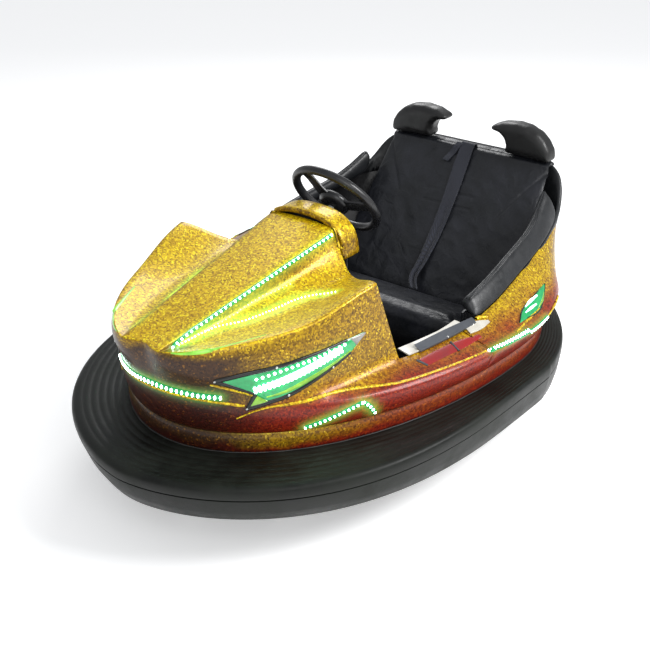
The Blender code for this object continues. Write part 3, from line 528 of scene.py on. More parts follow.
print("lamps and lines")
strips = {
    "noseBar": {
        "points": [(0.663, 0.186, 0.456), (0.692, 0.141, 0.460), (0.720, 0.080, 0.467), (0.736, 0.0, 0.474)],
        "width": 0.017,
        "diodes": 15,
        "stretch": 2.0,
    },
    "ridge": {
        "points": [(0.712, 0.076, 0.588), (0.643, 0.082, 0.608), (0.498, 0.096, 0.636), (0.344, 0.107, 0.664),
                   (0.202, 0.118, 0.690), (0.110, 0.124, 0.706)],
        "width": 0.013,
        "diodes": 36,
        "stretch": 1.15,
    },
    "hockey": {
        "points": [(0.507, 0.337, 0.344), (0.444, 0.387, 0.367), (0.377, 0.427, 0.391)],
        "width": 0.013,
        "diodes": 13,
        "stretch": 1.2,
    },
    "hockeyEnd": {
        "points": [(0.372, 0.430, 0.391), (0.352, 0.434, 0.372), (0.338, 0.438, 0.350)],
        "width": 0.013,
        "diodes": 5,
        "stretch": 1.2,
    },
    "flank": {
        "points": [(-0.050, 0.560, 0.404), (-0.130, 0.575, 0.401), (-0.210, 0.583, 0.398), (-0.290, 0.584,
                   0.396),
                   (-0.351, 0.583, 0.396)],
        "width": 0.016,
        "diodes": 26,
        "stretch": 1.6,
    },
}
for side, flip in (("Left", False), ("Right", True)):
    for name, strip in strips.items():
        points = strip["points"]
        if name == "noseBar":
            if flip:
                continue
            points = points + mirrored(points[-2::-1])
        elif flip:
            points = mirrored(points)
        if name == "ridge" and flip:
            points = [(x, y - 0.012, z - 0.016) for x, y, z in points[1:]]  # further down its slope
        count = strip["diodes"] * 2 - 1 if name == "noseBar" else strip["diodes"]
        skinBand(f"{name}Strip{side}", points, [strip["width"]] * 2, 0.0045, finish["strip"])
        diodes(f"{name}Diodes{side}", points, count, 0.0036, 0.0035, finish["diode"], strip["stretch"],
               glow=0.9)

    # thin dotted string in the valley of the bonnet, and a pale strip along the wing's crest
    valley = [(0.690, 0.076, 0.586), (0.577, 0.092, 0.593), (0.494, 0.128, 0.591), (0.394, 0.152, 0.591),
              (0.331, 0.165, 0.593), (0.281, 0.195, 0.600), (0.253, 0.245, 0.614)]
    inner = [(0.640, 0.082, 0.590), (0.50, 0.098, 0.606), (0.40, 0.108, 0.62), (0.30, 0.125, 0.626)]
    crest = [(0.743, 0.091, 0.592), (0.724, 0.128, 0.593), (0.682, 0.175, 0.599), (0.608, 0.211, 0.605),
             (0.54, 0.24, 0.612)]
    if flip:
        valley, inner, crest = mirrored(valley[:5]), mirrored(inner), mirrored(crest)
    diodes(f"valleyString{side}", valley, 46, 0.0019, 0.0012, finish["diode"], glow=1.6)
    diodes(f"innerString{side}", inner, 26, 0.0022, 0.0012, finish["paleDiode"], glow=0.8)
    skinBand(f"crestStrip{side}", crest, [0.004, 0.011, 0.010, 0.004], 0.002, finish["crestStrip"])

    # raised gold pinstripe along the belt, and the short lines round the headlight's mouth
    stripe = [(0.637, 0.214, 0.392), (0.611, 0.253, 0.413), (0.577, 0.283, 0.422), (0.510, 0.330, 0.422),
              (0.404, 0.375, 0.421), (0.340, 0.409, 0.415), (0.255, 0.461, 0.408), (0.159, 0.498, 0.406),
              (0.056, 0.530, 0.405), (-0.044, 0.554, 0.404)]
    mouthLines = {
        "mouthLine": [(0.682, 0.170, 0.498), (0.640, 0.215, 0.478), (0.604, 0.249, 0.458)],
        "chinLine": [(0.668, 0.186, 0.442), (0.650, 0.208, 0.437), (0.627, 0.235, 0.430)],
        "tailLine": [(-0.19, 0.572, 0.414), (-0.27, 0.566, 0.421), (-0.345, 0.562, 0.428)],
        "tailEdge": [(-0.36, 0.583, 0.397), (-0.43, 0.573, 0.400), (-0.50, 0.556, 0.405)],
    }
    if flip:
        stripe = mirrored(stripe)
        mouthLines = {key: mirrored(value) for key, value in mouthLines.items()}
    skinBand(f"pinstripe{side}", stripe, [0.003, 0.010, 0.008, 0.006], 0.004, finish["pinstripe"],
             90)
    for name, points in mouthLines.items():
        skinBand(f"{name}{side}", points, [0.004, 0.008, 0.007], 0.004, finish["pinstripe"],
                 24)
# raised collar where the hoop meets the bonnet
collar = [(0.089, 0.138, 0.640), (0.090, 0.128, 0.680), (0.091, 0.112, 0.714), (0.089, 0.080, 0.731),
          (0.089, 0.044, 0.738), (0.089, 0.0, 0.741)]
skinBand("cowlCollar", collar + mirrored(collar[-2::-1]), [0.014, 0.017, 0.014], 0.0055, finish["gold"],
         80)
# a gold edge below the nose bar
noseEdge = [(0.640, 0.215, 0.434), (0.692, 0.141, 0.447), (0.727, 0.06, 0.456)]
noseEdge = noseEdge + [(0.734, 0.0, 0.460)] + mirrored(noseEdge[::-1])
skinBand("noseEdge", noseEdge, [0.005, 0.007, 0.005], 0.003, finish["pinstripe"], 70)


# headlight: black frame, green lens with a mouth at its front, two rows of diodes and small screws
def lampShape(name, upper, lower, material, lift, thick, count=40, nodesReplaced=(), grow=0.0):
    def place(u, v):
        high = through(upper, u)
        low = through(lower, u)
        at = low.lerp(high, v)
        if grow:
            spread = high - low
            if spread.length > 1e-6:
                at = at + spread.normalized() * grow * (2 * v - 1)
        spot, normal = onSkin(at)
        rise = lift + thick * (1 - (2 * v - 1) ** 4) * min(1.0, 8 * u, 8 * (1 - u))
        return spot + normal * rise

    return addPiece(name, thicken(surface(count, 10, place), 0.0012), material, "chassis",
                    nodesReplaced)


headlight = {
    "upper": [(0.678, 0.183, 0.510), (0.624, 0.243, 0.526), (0.556, 0.287, 0.531), (0.489, 0.317, 0.536),
              (0.414, 0.341, 0.541), (0.351, 0.357, 0.546), (0.290, 0.370, 0.549)],
    "lower": [(0.604, 0.252, 0.464), (0.575, 0.279, 0.436), (0.532, 0.302, 0.444), (0.461, 0.335, 0.468),
              (0.405, 0.351, 0.486), (0.344, 0.364, 0.508), (0.288, 0.371, 0.546)],
    "chin": [(0.602, 0.252, 0.462), (0.614, 0.246, 0.440), (0.624, 0.240, 0.422)],
    "topRow": [(0.602, 0.257, 0.508), (0.556, 0.287, 0.517), (0.496, 0.316, 0.524), (0.43, 0.338, 0.530),
               (0.362, 0.356, 0.537)],
    "mainRow": [(0.603, 0.252, 0.477), (0.565, 0.281, 0.486), (0.525, 0.305, 0.495), (0.455, 0.332, 0.511),
                (0.376, 0.353, 0.528)],
}
print("headlights")
for side, flip in (("left", False), ("right", True)):
    tag = side.title()
    look = {key: (mirrored(value) if flip else value) for key, value in headlight.items()}
    lampShape(f"headlightLens{tag}", look["upper"], look["lower"], finish["lens"], 0.0006, 0.004, 48,
              (f"headlight_{side}",))
    frameUpper = look["upper"]
    frameLower = look["lower"]
    edges = {"top": frameUpper[:-1], "bottom": [look["chin"][-1]] + frameLower[1:-1],
             "mouth": [frameUpper[0], Vector(frameUpper[0]).lerp(Vector(frameLower[0]), 0.5), frameLower[0]],
             "chin": look["chin"]}
    for name, points in edges.items():
        skinBand(f"headlightEdge{name.title()}{tag}", points, [0.013, 0.011, 0.008], 0.0058,
                 finish["lampFrame"], 40)
    chinFoot, chinHead, chinBack = (Vector(p) for p in (look["chin"][-1], frameLower[0], frameLower[1]))
    lampShape(f"headlightChin{tag}", [look["chin"][0], chinBack.lerp(chinHead, 0.4), chinBack],
              [chinFoot, chinFoot.lerp(chinBack, 0.5), chinBack], finish["limeRim"], 0.0006, 0.003, 12)
    limeLine = [Vector(low).lerp(Vector(high), 0.17) for low, high in zip(frameLower[1:6], frameUpper[1:6])]
    skinBand(f"headlightLime{tag}", limeLine, [0.004, 0.014, 0.012, 0.004], 0.0072, finish["limeRim"],
             40)
    skinBand(f"headlightGlow{tag}", look["mainRow"], [0.010, 0.024, 0.025, 0.020, 0.010], 0.0074,
             finish["lampGlow"], 40)
    tipUpper = [Vector(frameUpper[-2]).lerp(Vector(frameUpper[-1]), t) for t in (0.15, 0.6, 1.0)]
    tipLower = [Vector(frameLower[-2]).lerp(Vector(frameLower[-1]), t) for t in (0.35, 0.7, 1.0)]
    lampShape(f"headlightTip{tag}", tipUpper, tipLower, finish["lensTip"], 0.003, 0.003, 12)
    diodes(f"headlightTopRow{tag}", look["topRow"], 17, 0.0042, 0.0050, finish["diode"], glow=0.25)
    diodes(f"headlightMainRow{tag}", look["mainRow"], 22, 0.0050, 0.0070, finish["diode"], 1.0,
           (-0.0055, 0.0055), glow=0.25)
    bm = bmesh.new()
    for spot in (frameUpper[0], frameUpper[2], frameUpper[4], look["chin"][-1], frameLower[2], frameLower[4]):
        addHead(bm, spot, 0.0046, 0.0034, 0.0014, 10)
    addPiece(f"headlightScrews{tag}", bm, finish["steel"], "chassis", (), 180)

# tail light: a green kite with two bright bars
tailLight = {
    "upper": [(-0.229, 0.557, 0.420), (-0.280, 0.535, 0.434), (-0.345, 0.527, 0.441), (-0.400, 0.521, 0.448),
              (-0.456, 0.515, 0.452)],
    "lower": [(-0.229, 0.558, 0.419), (-0.268, 0.560, 0.419), (-0.338, 0.562, 0.417), (-0.409, 0.538, 0.432),
              (-0.457, 0.515, 0.450)],
    "bars": [[(-0.297, 0.535, 0.438), (-0.335, 0.531, 0.441), (-0.378, 0.529, 0.443)],
             [(-0.278, 0.547, 0.429), (-0.305, 0.546, 0.430), (-0.345, 0.545, 0.430)]],
    "lime": [(-0.340, 0.556, 0.422), (-0.385, 0.545, 0.428), (-0.420, 0.530, 0.438)],
}
print("tail lights")
for side, flip in (("left", False), ("right", True)):
    tag = side.title()
    upper, lower, bars, lime = (tailLight[key] for key in ("upper", "lower", "bars", "lime"))
    if flip:
        upper, lower, lime = mirrored(upper), mirrored(lower), mirrored(lime)
        bars = [mirrored(bar) for bar in bars]
    lampShape(f"tailLens{tag}", upper, lower, finish["lens"], 0.0006, 0.003, 30, (f"tail_light_{side}",))
    for i, bar in enumerate(bars):
        skinBand(f"tailBar{tag}{i + 1}", bar, [0.004, 0.010, 0.007], 0.0065, finish["lampGlow"],
                 20)
    skinBand(f"tailLime{tag}", lime, [0.003, 0.008, 0.003], 0.0060, finish["limeRim"], 20)
    for name, points in (("Top", upper[:-1]), ("Foot", lower[1:])):
        skinBand(f"tailEdge{name}{tag}", points, [0.004, 0.005, 0.004], 0.0048, finish["lampFrame"],
                 30)
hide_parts("front_light_strip")

# the green light that the strips throw on the gel-coat near them
greenLight = {"reach": 0.07, "spread": 0.016, "strength": 0.30}
for skin in skins:
    values = []
    for vert in skin.data.vertices:
        light = 0.0
        for point, up, share in glowPoints:
            gap = (vert.co - point).length
            if gap < greenLight["reach"]:
                facing = max(vert.normal.dot(up), 0.0)
                fade = exp(-((gap / greenLight["spread"]) ** 2))
                light += share * facing * fade * greenLight["strength"]
        values.append(min(light, 1.0))
    layer = skin.data.attributes.new("lampGlow", "FLOAT", "POINT")
    layer.data.foreach_set("value", values)


# rubber ring: a profile carried round the two outlines of its frame node
print("rubber ring")


def levelLoop(node, height):
    spots = {}
    for vert in nodes[node].data.vertices:
        if abs(vert.co.z - height) < 0.0004:
            spots[(round(vert.co.x, 4), round(vert.co.y, 4))] = vert.co.copy()
    middle = -0.1
    return sorted(spots.values(), key=lambda p: (atan2(p.y, p.x - middle) + 0.0001) % (2 * pi))


ringLow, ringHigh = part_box("bumper_ring")
ring = {
    "top": ringHigh[2],
    "low": ringLow[2],
    "ribs": 6,
    "ribDepth": 0.0010,
    "steps": 224,
}
outerLoop = levelLoop("bumper_ring", ring["top"] - 0.019)
innerLoop = levelLoop("bumper_ring", ring["top"] - 0.018)
print("ring outline points", len(outerLoop), len(innerLoop))


def ringProfile():
    top, low = ring["top"], ring["low"]
    profile = [(1.0, low + 0.001), (0.5, low + 0.001), (0.27, low + 0.001), (0.235, low + 0.003),
               (0.12, 0.186), (0.05, 0.222), (0.033, 0.2305), (0.030, 0.2325), (0.045, 0.2335),
               (0.045, 0.2365), (0.022, 0.2375),
               (0.016, 0.240), (0.004, 0.250), (0.0, 0.258), (0.004, 0.264), (0.018, 0.269), (0.05, 0.2735),
               (0.10, top - 0.0015)]
    share = 0.16
    width = (0.97 - share) / ring["ribs"]
    for i in range(ring["ribs"]):
        start = share + width * i
        profile += [(start, top - 0.0005), (start + width * 0.10, top - ring["ribDepth"]),
                    (start + width * 0.32, top - ring["ribDepth"]), (start + width * 0.42, top - 0.0005),
                    (start + width * 0.70, top)]
    profile += [(1.0, top - 0.001)]
    return profile


profile = ringProfile()


def ringPlace(u, v):
    share, height = profile[round(v * (len(profile) - 1))]
    outer = through(outerLoop, u, True)
    inner = through(innerLoop, u, True)
    at = outer.lerp(inner, share)
    return Vector((at.x, at.y, height))


bm = surface(ring["steps"], len(profile) - 1, ringPlace)
bmesh.ops.remove_doubles(bm, verts=bm.verts, dist=0.00002)
loops = [e for e in bm.edges if e.is_boundary]
bmesh.ops.bridge_loops(bm, edges=loops)
bmesh.ops.recalc_face_normals(bm, faces=bm.faces)
addPiece("rubberRing", bm, finish["ring"], "chassis", ("bumper_ring",), 50)


# padded pieces: a closed shape, swelled by cloth under pressure
def swell(obj, voxel, cap, pressure, frames=20):
    mod = obj.modifiers.new("Remesh", "REMESH")
    mod.mode = "VOXEL"
    mod.voxel_size = voxel
    applyModifiers(obj)
    obj.data.shade_smooth()
    start = [v.co.copy() for v in obj.data.vertices]
    cloth = obj.modifiers.new("Cloth", "CLOTH")
    cloth.settings.use_pressure = True
    cloth.settings.uniform_pressure_force = pressure
    cloth.settings.effector_weights.gravity = 0
    cloth.settings.quality = 4
    for step in range(1, frames + 1):
        scene.frame_set(step)
    applyModifiers(obj)
    scene.frame_set(1)
    for vert, before in zip(obj.data.vertices, start):
        move = vert.co - before
        if move.length > cap:
            vert.co = before + move * (cap / move.length)
    return obj


def eased(obj, rounds):
    bm = bmesh.new()
    bm.from_mesh(obj.data)
    for _ in range(rounds):
        bmesh.ops.smooth_vert(bm, verts=bm.verts, factor=0.5, use_axis_x=True, use_axis_y=True,
                              use_axis_z=True)
    bm.to_mesh(obj.data)
    bm.free()


def keepFinish(obj, material):
    obj.data.materials.clear()
    obj.data.materials.append(material)
    obj.data.shade_smooth()


print("seat")
seatLow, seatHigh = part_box("seat_cushion")
backLow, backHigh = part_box("seat_back")
seat = {"shrink": 0.010, "cap": 0.011, "voxel": 0.007, "pressure": 4.0}


def cushionShape():
    bm = copyOfNode("seat_cushion")
    middle = Vector([(a + b) / 2 for a, b in zip(seatLow, seatHigh)])
    sizes = Vector([b - a for a, b in zip(seatLow, seatHigh)])
    scale = [1 - 2 * seat["shrink"] / s for s in sizes]
    bmesh.ops.scale(bm, vec=scale, space=Matrix.Translation(-middle), verts=bm.verts)
    return bm


cushion = addPiece("seatCushion", cushionShape(), finish["vinyl"], "chassis",
                   ("seat_cushion",), 60)
roundEdges(cushion, 0.018, 4, 30)
applyModifiers(cushion)
swell(cushion, seat["voxel"], seat["cap"], seat["pressure"])
eased(cushion, 3)
keepFinish(cushion, finish["vinyl"])
subdivide(cushion, 1)

# seat back: crowned panel, quilted along the seams, with corner darts
backFoot = Vector((-0.4995, 0, 0.247))
backTop = Vector((-0.8235, 0, 0.6955))
lean = (backTop - backFoot).normalized()
outwards = Vector((-lean.z, 0, lean.x)) * -1
backHeight = (backTop - backFoot).length
back = {"footHalf": 0.360, "topHalf": 0.311, "behind": 0.009, "crown": 0.013, "wall": 0.010}


def backPlace(u, v):
    half = back["footHalf"] + (back["topHalf"] - back["footHalf"]) * v
    side = 2 * u - 1
    across = side * half
    crown = max((1 - side**8) * (1 - (2 * v - 1) ** 10), 0.0) ** 0.5
    # two short seams each side of the belt, and a dart that runs up into each top corner
    seamed = 0.05 < abs(side) < 0.30
    dashes = sum(exp(-(((v - level) / 0.006) ** 2)) for level in (0.60, 0.68)) if seamed else 0.0
    dart = exp(-(((v - 0.62 - 0.85 * (abs(side) - 0.62)) / 0.012) ** 2)) if abs(side) > 0.60 else 0.0
    roll = 0.006 * exp(-(((v - 0.975) / 0.018) ** 2))
    soft = noise.noise(Vector((across * 7, v * 4, 0.3)))
    creases = abs(noise.noise(Vector((across * 13 + v * 5, v * 7 - across * 6, 4.0))))
    depth = crown * (back["crown"] + 0.006 * soft - 0.006 * creases) - 0.003 * dashes - 0.004 * dart + roll
    return backFoot + lean * (backHeight * v) + Vector((0, across, 0)) + outwards * (depth - back["behind"])


bm = surface(120, 110, backPlace)
bmesh.ops.recalc_face_normals(bm, faces=bm.faces)
if sum(face.normal.x for face in bm.faces) < 0:
    bmesh.ops.reverse_faces(bm, faces=bm.faces)
seatBack = addPiece("seatBackPanel", thicken(bm, back["wall"]), finish["vinyl"], "chassis",
                    ("seat_back",), 70)

# a stuffed roll along the top of the seat back, which closes the gap to the moulding
roll = {"half": 0.318, "deep": 0.024, "high": 0.0125, "behind": 0.022}


def rollPlace(u, v):
    side = 2 * u - 1
    end = max(1 - side**12, 0.0) ** 0.5
    angle = 2 * pi * v
    pucker = 1 + 0.03 * sin(side * 40)
    return Vector((backTop.x - roll["behind"] + roll["deep"] * end * cos(angle), side * roll["half"],
                   backTop.z - roll["high"] + roll["high"] * end * pucker * sin(angle)))


topRoll = addPiece("seatBackRoll", closeSurface(surface(90, 20, rollPlace)), finish["vinyl"], "chassis",
                   (), 180)

# arm rests
print("arm rests")
for side, flip in (("left", False), ("right", True)):
    tag = side.title()
    bm = copyOfNode(f"arm_pad_{side}")
    bmesh.ops.join_triangles(bm, faces=bm.faces, angle_face_threshold=radians(35),
                             angle_shape_threshold=radians(60))
    pad = addPiece(f"armRest{tag}", bm, finish["armVinyl"], "chassis",
                   (f"arm_pad_{side}",), 180)
    subdivide(pad, 2)
    applyModifiers(pad)
    keepFinish(pad, finish["armVinyl"])
    bpy.context.view_layer.update()
    tree = BVHTree.FromObject(pad, bpy.context.evaluated_depsgraph_get())
    ridge = [(-0.130, 0.420, 0.500), (-0.185, 0.42, 0.50), (-0.293, 0.418, 0.53), (-0.40, 0.405, 0.545),
             (-0.479, 0.395, 0.55), (-0.59, 0.38, 0.57), (-0.65, 0.36, 0.60), (-0.70, 0.345, 0.64),
             (-0.745, 0.335, 0.68)]
    ridge = mirrored(ridge) if flip else ridge
    for number, shift in enumerate((0.0, 0.022)):
        count = 60
        path = []
        for spot in evenly(ridge, count + 1):
            spot = spot + Vector((0, (-shift if flip else shift), 0.02))
            place, normal, _, _ = tree.find_nearest(spot)
            path.append((place, normal))

        def beadPlace(u, v, path=path, count=count):
            i = round(u * count)
            at, normal = path[i]
            ahead = path[min(i + 1, count)][0] - path[max(i - 1, 0)][0]
            sideways = normal.cross(ahead).normalized()
            angle = 2 * pi * v
            return at + sideways * (0.0032 * cos(angle)) + normal * (0.0018 * sin(angle))

        bm = closeSurface(surface(count, 8, beadPlace))
        addPiece(f"armBead{tag}{number + 1}", bm, finish["armVinyl"], "chassis", (), 180)

# padded cover over the upper edge of the rear moulding, from the arm rests round the tail
print("tail padding")
padding = {
    "edge": [(-0.19, 0.446), (-0.28, 0.480), (-0.41, 0.496), (-0.545, 0.514), (-0.715, 0.532),
             (-0.88, 0.552)],
    "front": -0.285,
    "proud": 0.0035,
    "wall": 0.0018,
}


def paddingEdge(x):
    edge = padding["edge"]
    for (xa, za), (xb, zb) in zip(edge, edge[1:]):
        if x >= xb:
            return za + (zb - za) * smoothStep(0, 1, min(max((xa - x) / (xa - xb), 0), 1))
    return edge[-1][1]


bm = bmesh.new()
bm.from_mesh(skins[1].data)
for vert in bm.verts:
    vert.co.z -= paddingEdge(vert.co.x)
everything = bm.verts[:] + bm.edges[:] + bm.faces[:]
bmesh.ops.bisect_plane(bm, geom=everything, plane_co=(0, 0, 0), plane_no=(0, 0, 1), clear_inner=True)
everything = bm.verts[:] + bm.edges[:] + bm.faces[:]
bmesh.ops.bisect_plane(bm, geom=everything, plane_co=(padding["front"], 0, 0), plane_no=(1, 0, 0),
                       clear_outer=True)
for vert in bm.verts:
    vert.co.z += paddingEdge(vert.co.x)
bm.normal_update()
for vert, normal in [(v, v.normal.copy()) for v in bm.verts]:
    rise = smoothStep(0.0, 0.03, vert.co.z - paddingEdge(vert.co.x))
    vert.co += normal * (0.0012 + padding["proud"] * rise)
bmesh.ops.solidify(bm, geom=bm.faces, thickness=padding["wall"])
tailPadding = addPiece("tailPadding", bm, finish["armVinyl"], "chassis", (), 180)

# head fins: fat rounded horns
print("head fins")
finCloth = {"voxel": 0.005, "cap": 0.006, "pressure": 3.0}
for side in ("left", "right"):
    bm = copyOfNode(f"head_fin_{side}")
    bmesh.ops.dissolve_limit(bm, angle_limit=radians(2), verts=bm.verts, edges=bm.edges)
    fin = addPiece(f"headFin{side.title()}", bm, finish["finVinyl"], "chassis",
                   (f"head_fin_{side}",), 180)
    roundEdges(fin, 0.018, 5, 50)
    applyModifiers(fin)
    swell(fin, finCloth["voxel"], finCloth["cap"], finCloth["pressure"])
    eased(fin, 6)
    keepFinish(fin, finish["finVinyl"])

# belt: one strap hung over the top of the seat back and bunched on the cushion
print("belt")
belt = {"half": 0.026, "thick": 0.0016}
# share of the way up the seat back, how far in front of its panel, and how far to the side
beltRun = [(0.03, 0.030, 0.010), (0.10, 0.024, -0.012), (0.22, 0.015, -0.006), (0.42, 0.011, 0.002),
           (0.65, 0.010, 0.004), (0.86, 0.010, 0.001), (0.985, 0.010, 0.0), (1.012, 0.006, 0.0),
           (1.018, -0.006, 0.0), (0.99, -0.020, 0.0)]
beltCentre = [backFoot + lean * (backHeight * up) + outwards * ahead + Vector((0, side, 0))
              for up, ahead, side in beltRun]


def beltPlace(u, v):
    at = through(beltCentre, u)
    gather = 1 - smoothStep(0.10, 0.50, u)
    fold = 0.006 * gather * sin(v * 9)
    narrow = 1 - 0.35 * gather
    ripple = 0.0012 * sin(26 * u + 3 * v)
    return at + Vector((0, (2 * v - 1) * belt["half"] * narrow, 0)) + outwards * (fold + ripple)


bm = thicken(surface(90, 10, beltPlace), belt["thick"])
addPiece("seatBeltStrap", bm, finish["webbing"], "chassis", ("seat_belt",), 60)


# the strap's free end, folded over beside the loop at the top
def beltTail(u, v):
    at = backFoot + lean * (backHeight * (1.0 - 0.13 * u)) + outwards * (0.012 - 0.004 * u)
    return at + Vector((0, -0.030 - 0.035 * u + (2 * v - 1) * 0.012, 0)) + outwards * 0.002 * sin(8 * u)


bm = thicken(surface(24, 6, beltTail), belt["thick"])
addPiece("seatBeltEnd", bm, finish["webbing"], "chassis", (), 60)

# steering wheel: round rim, dished boss and three broad spokes
print("steering wheel")
wheelJoint = [j for j in frame["joints"] if j["name"] == "steering_wheel_turn"][0]
wheelCentre = Vector(wheelJoint["pos_m"])
wheelAxis = Vector(wheelJoint["axis"]).normalized()
wheel = {"radius": 0.1375, "grip": 0.0135, "boss": 0.050, "spoke": 0.034, "thick": 0.010}
turn = Matrix.Translation(wheelCentre) @ wheelAxis.to_track_quat("Z", "Y").to_matrix().to_4x4()


def spinProfile(bm, points, steps, closed=False):
    verts = [bm.verts.new((x, 0, z)) for x, z in points]
    edges = [bm.edges.new(pair) for pair in zip(verts, verts[1:])]
    if closed:
        edges.append(bm.edges.new((verts[-1], verts[0])))
    bmesh.ops.spin(bm, geom=verts + edges, cent=(0, 0, 0), axis=(0, 0, 1), angle=2 * pi, steps=steps,
                   use_merge=True)
    bmesh.ops.remove_doubles(bm, verts=bm.verts, dist=0.00001)


bm = bmesh.new()
grip = [(wheel["radius"] + wheel["grip"] * cos(2 * pi * i / 16), wheel["grip"] * sin(2 * pi * i / 16))
        for i in range(16)]
spinProfile(bm, grip, 72, True)
bmesh.ops.recalc_face_normals(bm, faces=bm.faces)
bm.transform(turn)
addPiece("steeringRim", bm, finish["wheelPlastic"], "steering_wheel",
         ("steering_wheel",), 180)
bm = bmesh.new()
boss = wheel["boss"]
spinProfile(bm, [(0, -0.028), (boss * 0.7, -0.028), (boss * 0.95, -0.020), (boss, -0.010), (boss, -0.004),
                 (boss * 0.86, 0.002), (boss * 0.55, 0.006), (0, 0.007)], 48)
bmesh.ops.recalc_face_normals(bm, faces=bm.faces)
bm.transform(turn)
addPiece("steeringBoss", bm, finish["wheelPlastic"], "steering_wheel", (), 50)


# broad spokes, thicker at the boss
def spokePlace(u, v, angle=0.0):
    along = boss * 0.7 + (wheel["radius"] - boss * 0.7 + 0.002) * u
    half = wheel["spoke"] / 2 * (1.35 - 0.45 * u + 0.35 * max(0, u - 0.8))
    a = 2 * pi * v
    across = half * (abs(cos(a)) ** 0.5) * (1 if cos(a) > 0 else -1)
    deep = wheel["thick"] / 2 * (abs(sin(a)) ** 0.5) * (1 if sin(a) > 0 else -1)
    dish = -0.010 * (1 - smoothStep(0.1, 0.8, u))
    return Matrix.Rotation(angle, 3, "Z") @ Vector((along, across, deep + dish))


for name, degrees in (("Top", 180), ("Left", 60), ("Right", -60)):
    bm = closeSurface(surface(20, 16, lambda u, v, a=radians(degrees): spokePlace(u, v, a)))
    bm.transform(turn)
    addPiece(f"steeringSpoke{name}", bm, finish["wheelPlastic"], "steering_wheel", (), 50)


# everything else keeps its own shape, with eased edges and a proper finish
print("fittings")
dressed = {
    "frame": ["chassis_frame", "floor_pan", "bumper_rim", "steering_column", "steering_box", "dash_panel",
              "rear_bracket_left", "rear_bracket_right", "drive_bridge", "drive_fork"],
    "steel": ["steering_shaft", "rear_pin_left", "rear_pin_right", "rear_left_hub", "rear_right_hub",
              "drive_axle", "drive_hub", "accelerator_pedal"],
    "tyre": ["rear_left_tyre", "rear_right_tyre", "drive_tyre"],
    "motor": ["drive_motor"],
    "battery": ["battery_pack"],
    "vinyl": ["side_panel_left", "side_panel_right", "seat_base"],
}
bodyOf = {}
for bodyName, members in frame["record"]["behaviour"]["bodies"].items():
    for member in members:
        bodyOf[member] = bodyName
for look, members in dressed.items():
    for member in members:
        bm = copyOfNode(member)
        bmesh.ops.dissolve_limit(bm, angle_limit=radians(1), verts=bm.verts, edges=bm.edges)
        words = member.split("_")
        name = words[0] + "".join(word.title() for word in words[1:])
        piece = addPiece(name, bm, finish[look], bodyOf[member], (member,), 32)
        roundEdges(piece, 0.0012, 2, 40)

# sill plates: pale plate, dark tread strip, rivets, red panel with two brackets and a gold lug
print("sills")
sill = {
    "tread": [(0.112, 0.422, 0.4375), (0.0, 0.443, 0.4405), (-0.120, 0.466, 0.4445)],
    "red": [(0.141, 0.462, 0.418), (0.028, 0.482, 0.420), (-0.083, 0.510, 0.423)],
    "pale": [(-0.070, 0.472, 0.4375), (-0.105, 0.482, 0.4385), (-0.150, 0.498, 0.4400)],
    "rivets": [(-0.103, 0.473, 0.438), (0.001, 0.452, 0.436)],
    "straps": [[(0.146, 0.445, 0.422), (0.140, 0.478, 0.414)],
               [(0.007, 0.466, 0.427), (0.020, 0.503, 0.414)]],
    "lug": [(-0.130, 0.458, 0.442), (-0.160, 0.486, 0.444)],
}
for side, flip in (("left", False), ("right", True)):
    tag = side.title()
    bm = copyOfNode(f"kick_plate_{side}")
    bmesh.ops.dissolve_limit(bm, angle_limit=radians(1), verts=bm.verts, edges=bm.edges)
    plate = addPiece(f"sillPlate{tag}", bm, finish["plate"], "chassis",
                     (f"kick_plate_{side}",), 32)
    roundEdges(plate, 0.0008, 2, 40)
    look = {key: sill[key] for key in ("tread", "red", "pale", "rivets", "lug")}
    straps = sill["straps"]
    if flip:
        look = {key: mirrored(value) for key, value in look.items()}
        straps = [mirrored(strap) for strap in straps]
    sillUp = (0, -0.38 if flip else 0.38, 0.92)
    bpy.context.view_layer.update()
    plateTree = BVHTree.FromObject(plate, bpy.context.evaluated_depsgraph_get())
    skinTrees.append(plateTree)
    skinBand(f"sillTread{tag}", look["tread"], [0.030, 0.032, 0.026], 0.0036, finish["tread"],
             40, False, sillUp)
    skinBand(f"sillPale{tag}", look["pale"], [0.034, 0.036, 0.028, 0.010], 0.0016, finish["plate"],
             24, False, sillUp)
    skinBand(f"sillRed{tag}", look["red"], [0.034, 0.036, 0.034, 0.016], 0.0034, finish["redPanel"],
             40)
    for number, strap in enumerate(straps):
        skinBand(f"sillStrap{tag}{number + 1}", strap, [0.008, 0.007], 0.0052, finish["tread"],
                 12)
    skinBand(f"sillLug{tag}", look["lug"], [0.012, 0.011], 0.007, finish["pinstripe"], 12)
    bm = bmesh.new()
    for spot in look["rivets"]:
        addHead(bm, spot, 0.0030, 0.0042, 0.0018, 12)
    addPiece(f"sillRivets{tag}", bm, finish["steel"], "chassis", (), 180)

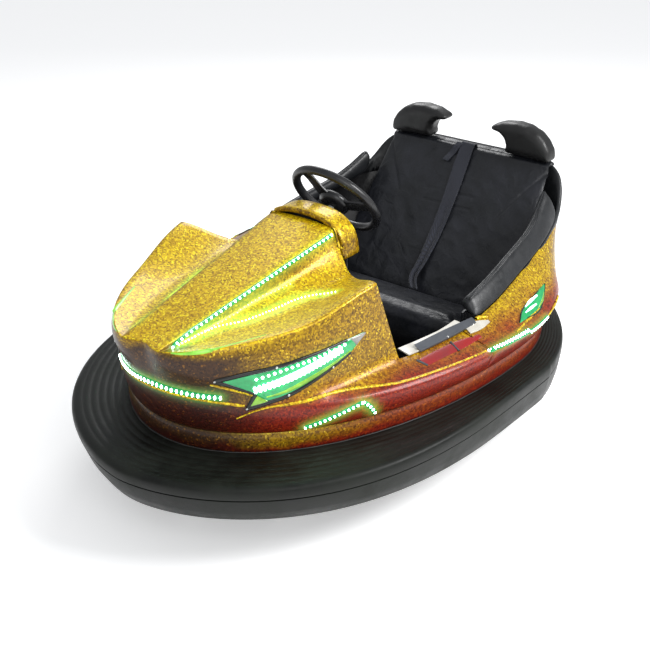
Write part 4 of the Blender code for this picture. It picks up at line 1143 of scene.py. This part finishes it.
# camera
print("camera and lights")
camera = {
    "place": (2.4692, 1.9691, 1.9701),
    "heading": radians(-141.5),
    "down": radians(27.39),
    "roll": -0.0133,
    "lens": 63.27,
    "sensor": 36,
}
ahead = Vector((cos(camera["down"]) * cos(camera["heading"]), cos(camera["down"]) * sin(camera["heading"]),
                -sin(camera["down"])))
right = ahead.cross(Vector((0, 0, 1))).normalized()
upward = right.cross(ahead)
turnCos, turnSin = cos(camera["roll"]), sin(camera["roll"])
rolledRight = turnCos * right + turnSin * upward
rolledUp = turnCos * upward - turnSin * right
cameraData = bpy.data.cameras.new("camera")
cameraData.lens = camera["lens"]
cameraData.sensor_width = camera["sensor"]
cameraObject = bpy.data.objects.new("camera", cameraData)
scene.collection.objects.link(cameraObject)
matrix = Matrix((rolledRight, rolledUp, -ahead)).transposed().to_4x4()
matrix.translation = Vector(camera["place"])
cameraObject.matrix_world = matrix
scene.camera = cameraObject

# floor and light
bm = bmesh.new()
bmesh.ops.create_grid(bm, x_segments=1, y_segments=1, size=60)
floorMaterial = newMaterial("paleFloor", (0.93, 0.93, 0.93), 0.8)
shaderOf(floorMaterial).inputs["Emission Color"].default_value = (1, 1, 1, 1)
shaderOf(floorMaterial).inputs["Emission Strength"].default_value = 0.35
floor = addObject("studioFloor", bm, floorMaterial)
world = bpy.data.worlds.new("studio")
world.use_nodes = True
world.node_tree.nodes["Background"].inputs["Color"].default_value = (0.95, 0.97, 1.0, 1)
world.node_tree.nodes["Background"].inputs["Strength"].default_value = 0.55
scene.world = world
lamps = {
    "keyLight": {"place": (-0.9, 2.9, 2.9), "aim": (0.1, 0, 0.45), "size": 1.5, "power": 140},
    "fillLight": {"place": (2.6, 2.6, 2.6), "aim": (0.2, 0, 0.4), "size": 2.4, "power": 45},
    "rimLight": {"place": (-2.6, -1.8, 2.6), "aim": (0, 0, 0.5), "size": 1.6, "power": 50},
}
for name, lamp in lamps.items():
    data = bpy.data.lights.new(name, "AREA")
    data.energy = lamp["power"]
    data.size = lamp["size"]
    obj = bpy.data.objects.new(name, data)
    scene.collection.objects.link(obj)
    obj.location = lamp["place"]
    obj.rotation_euler = (Vector(lamp["aim"]) - Vector(lamp["place"])).to_track_quat("-Z", "Y").to_euler()
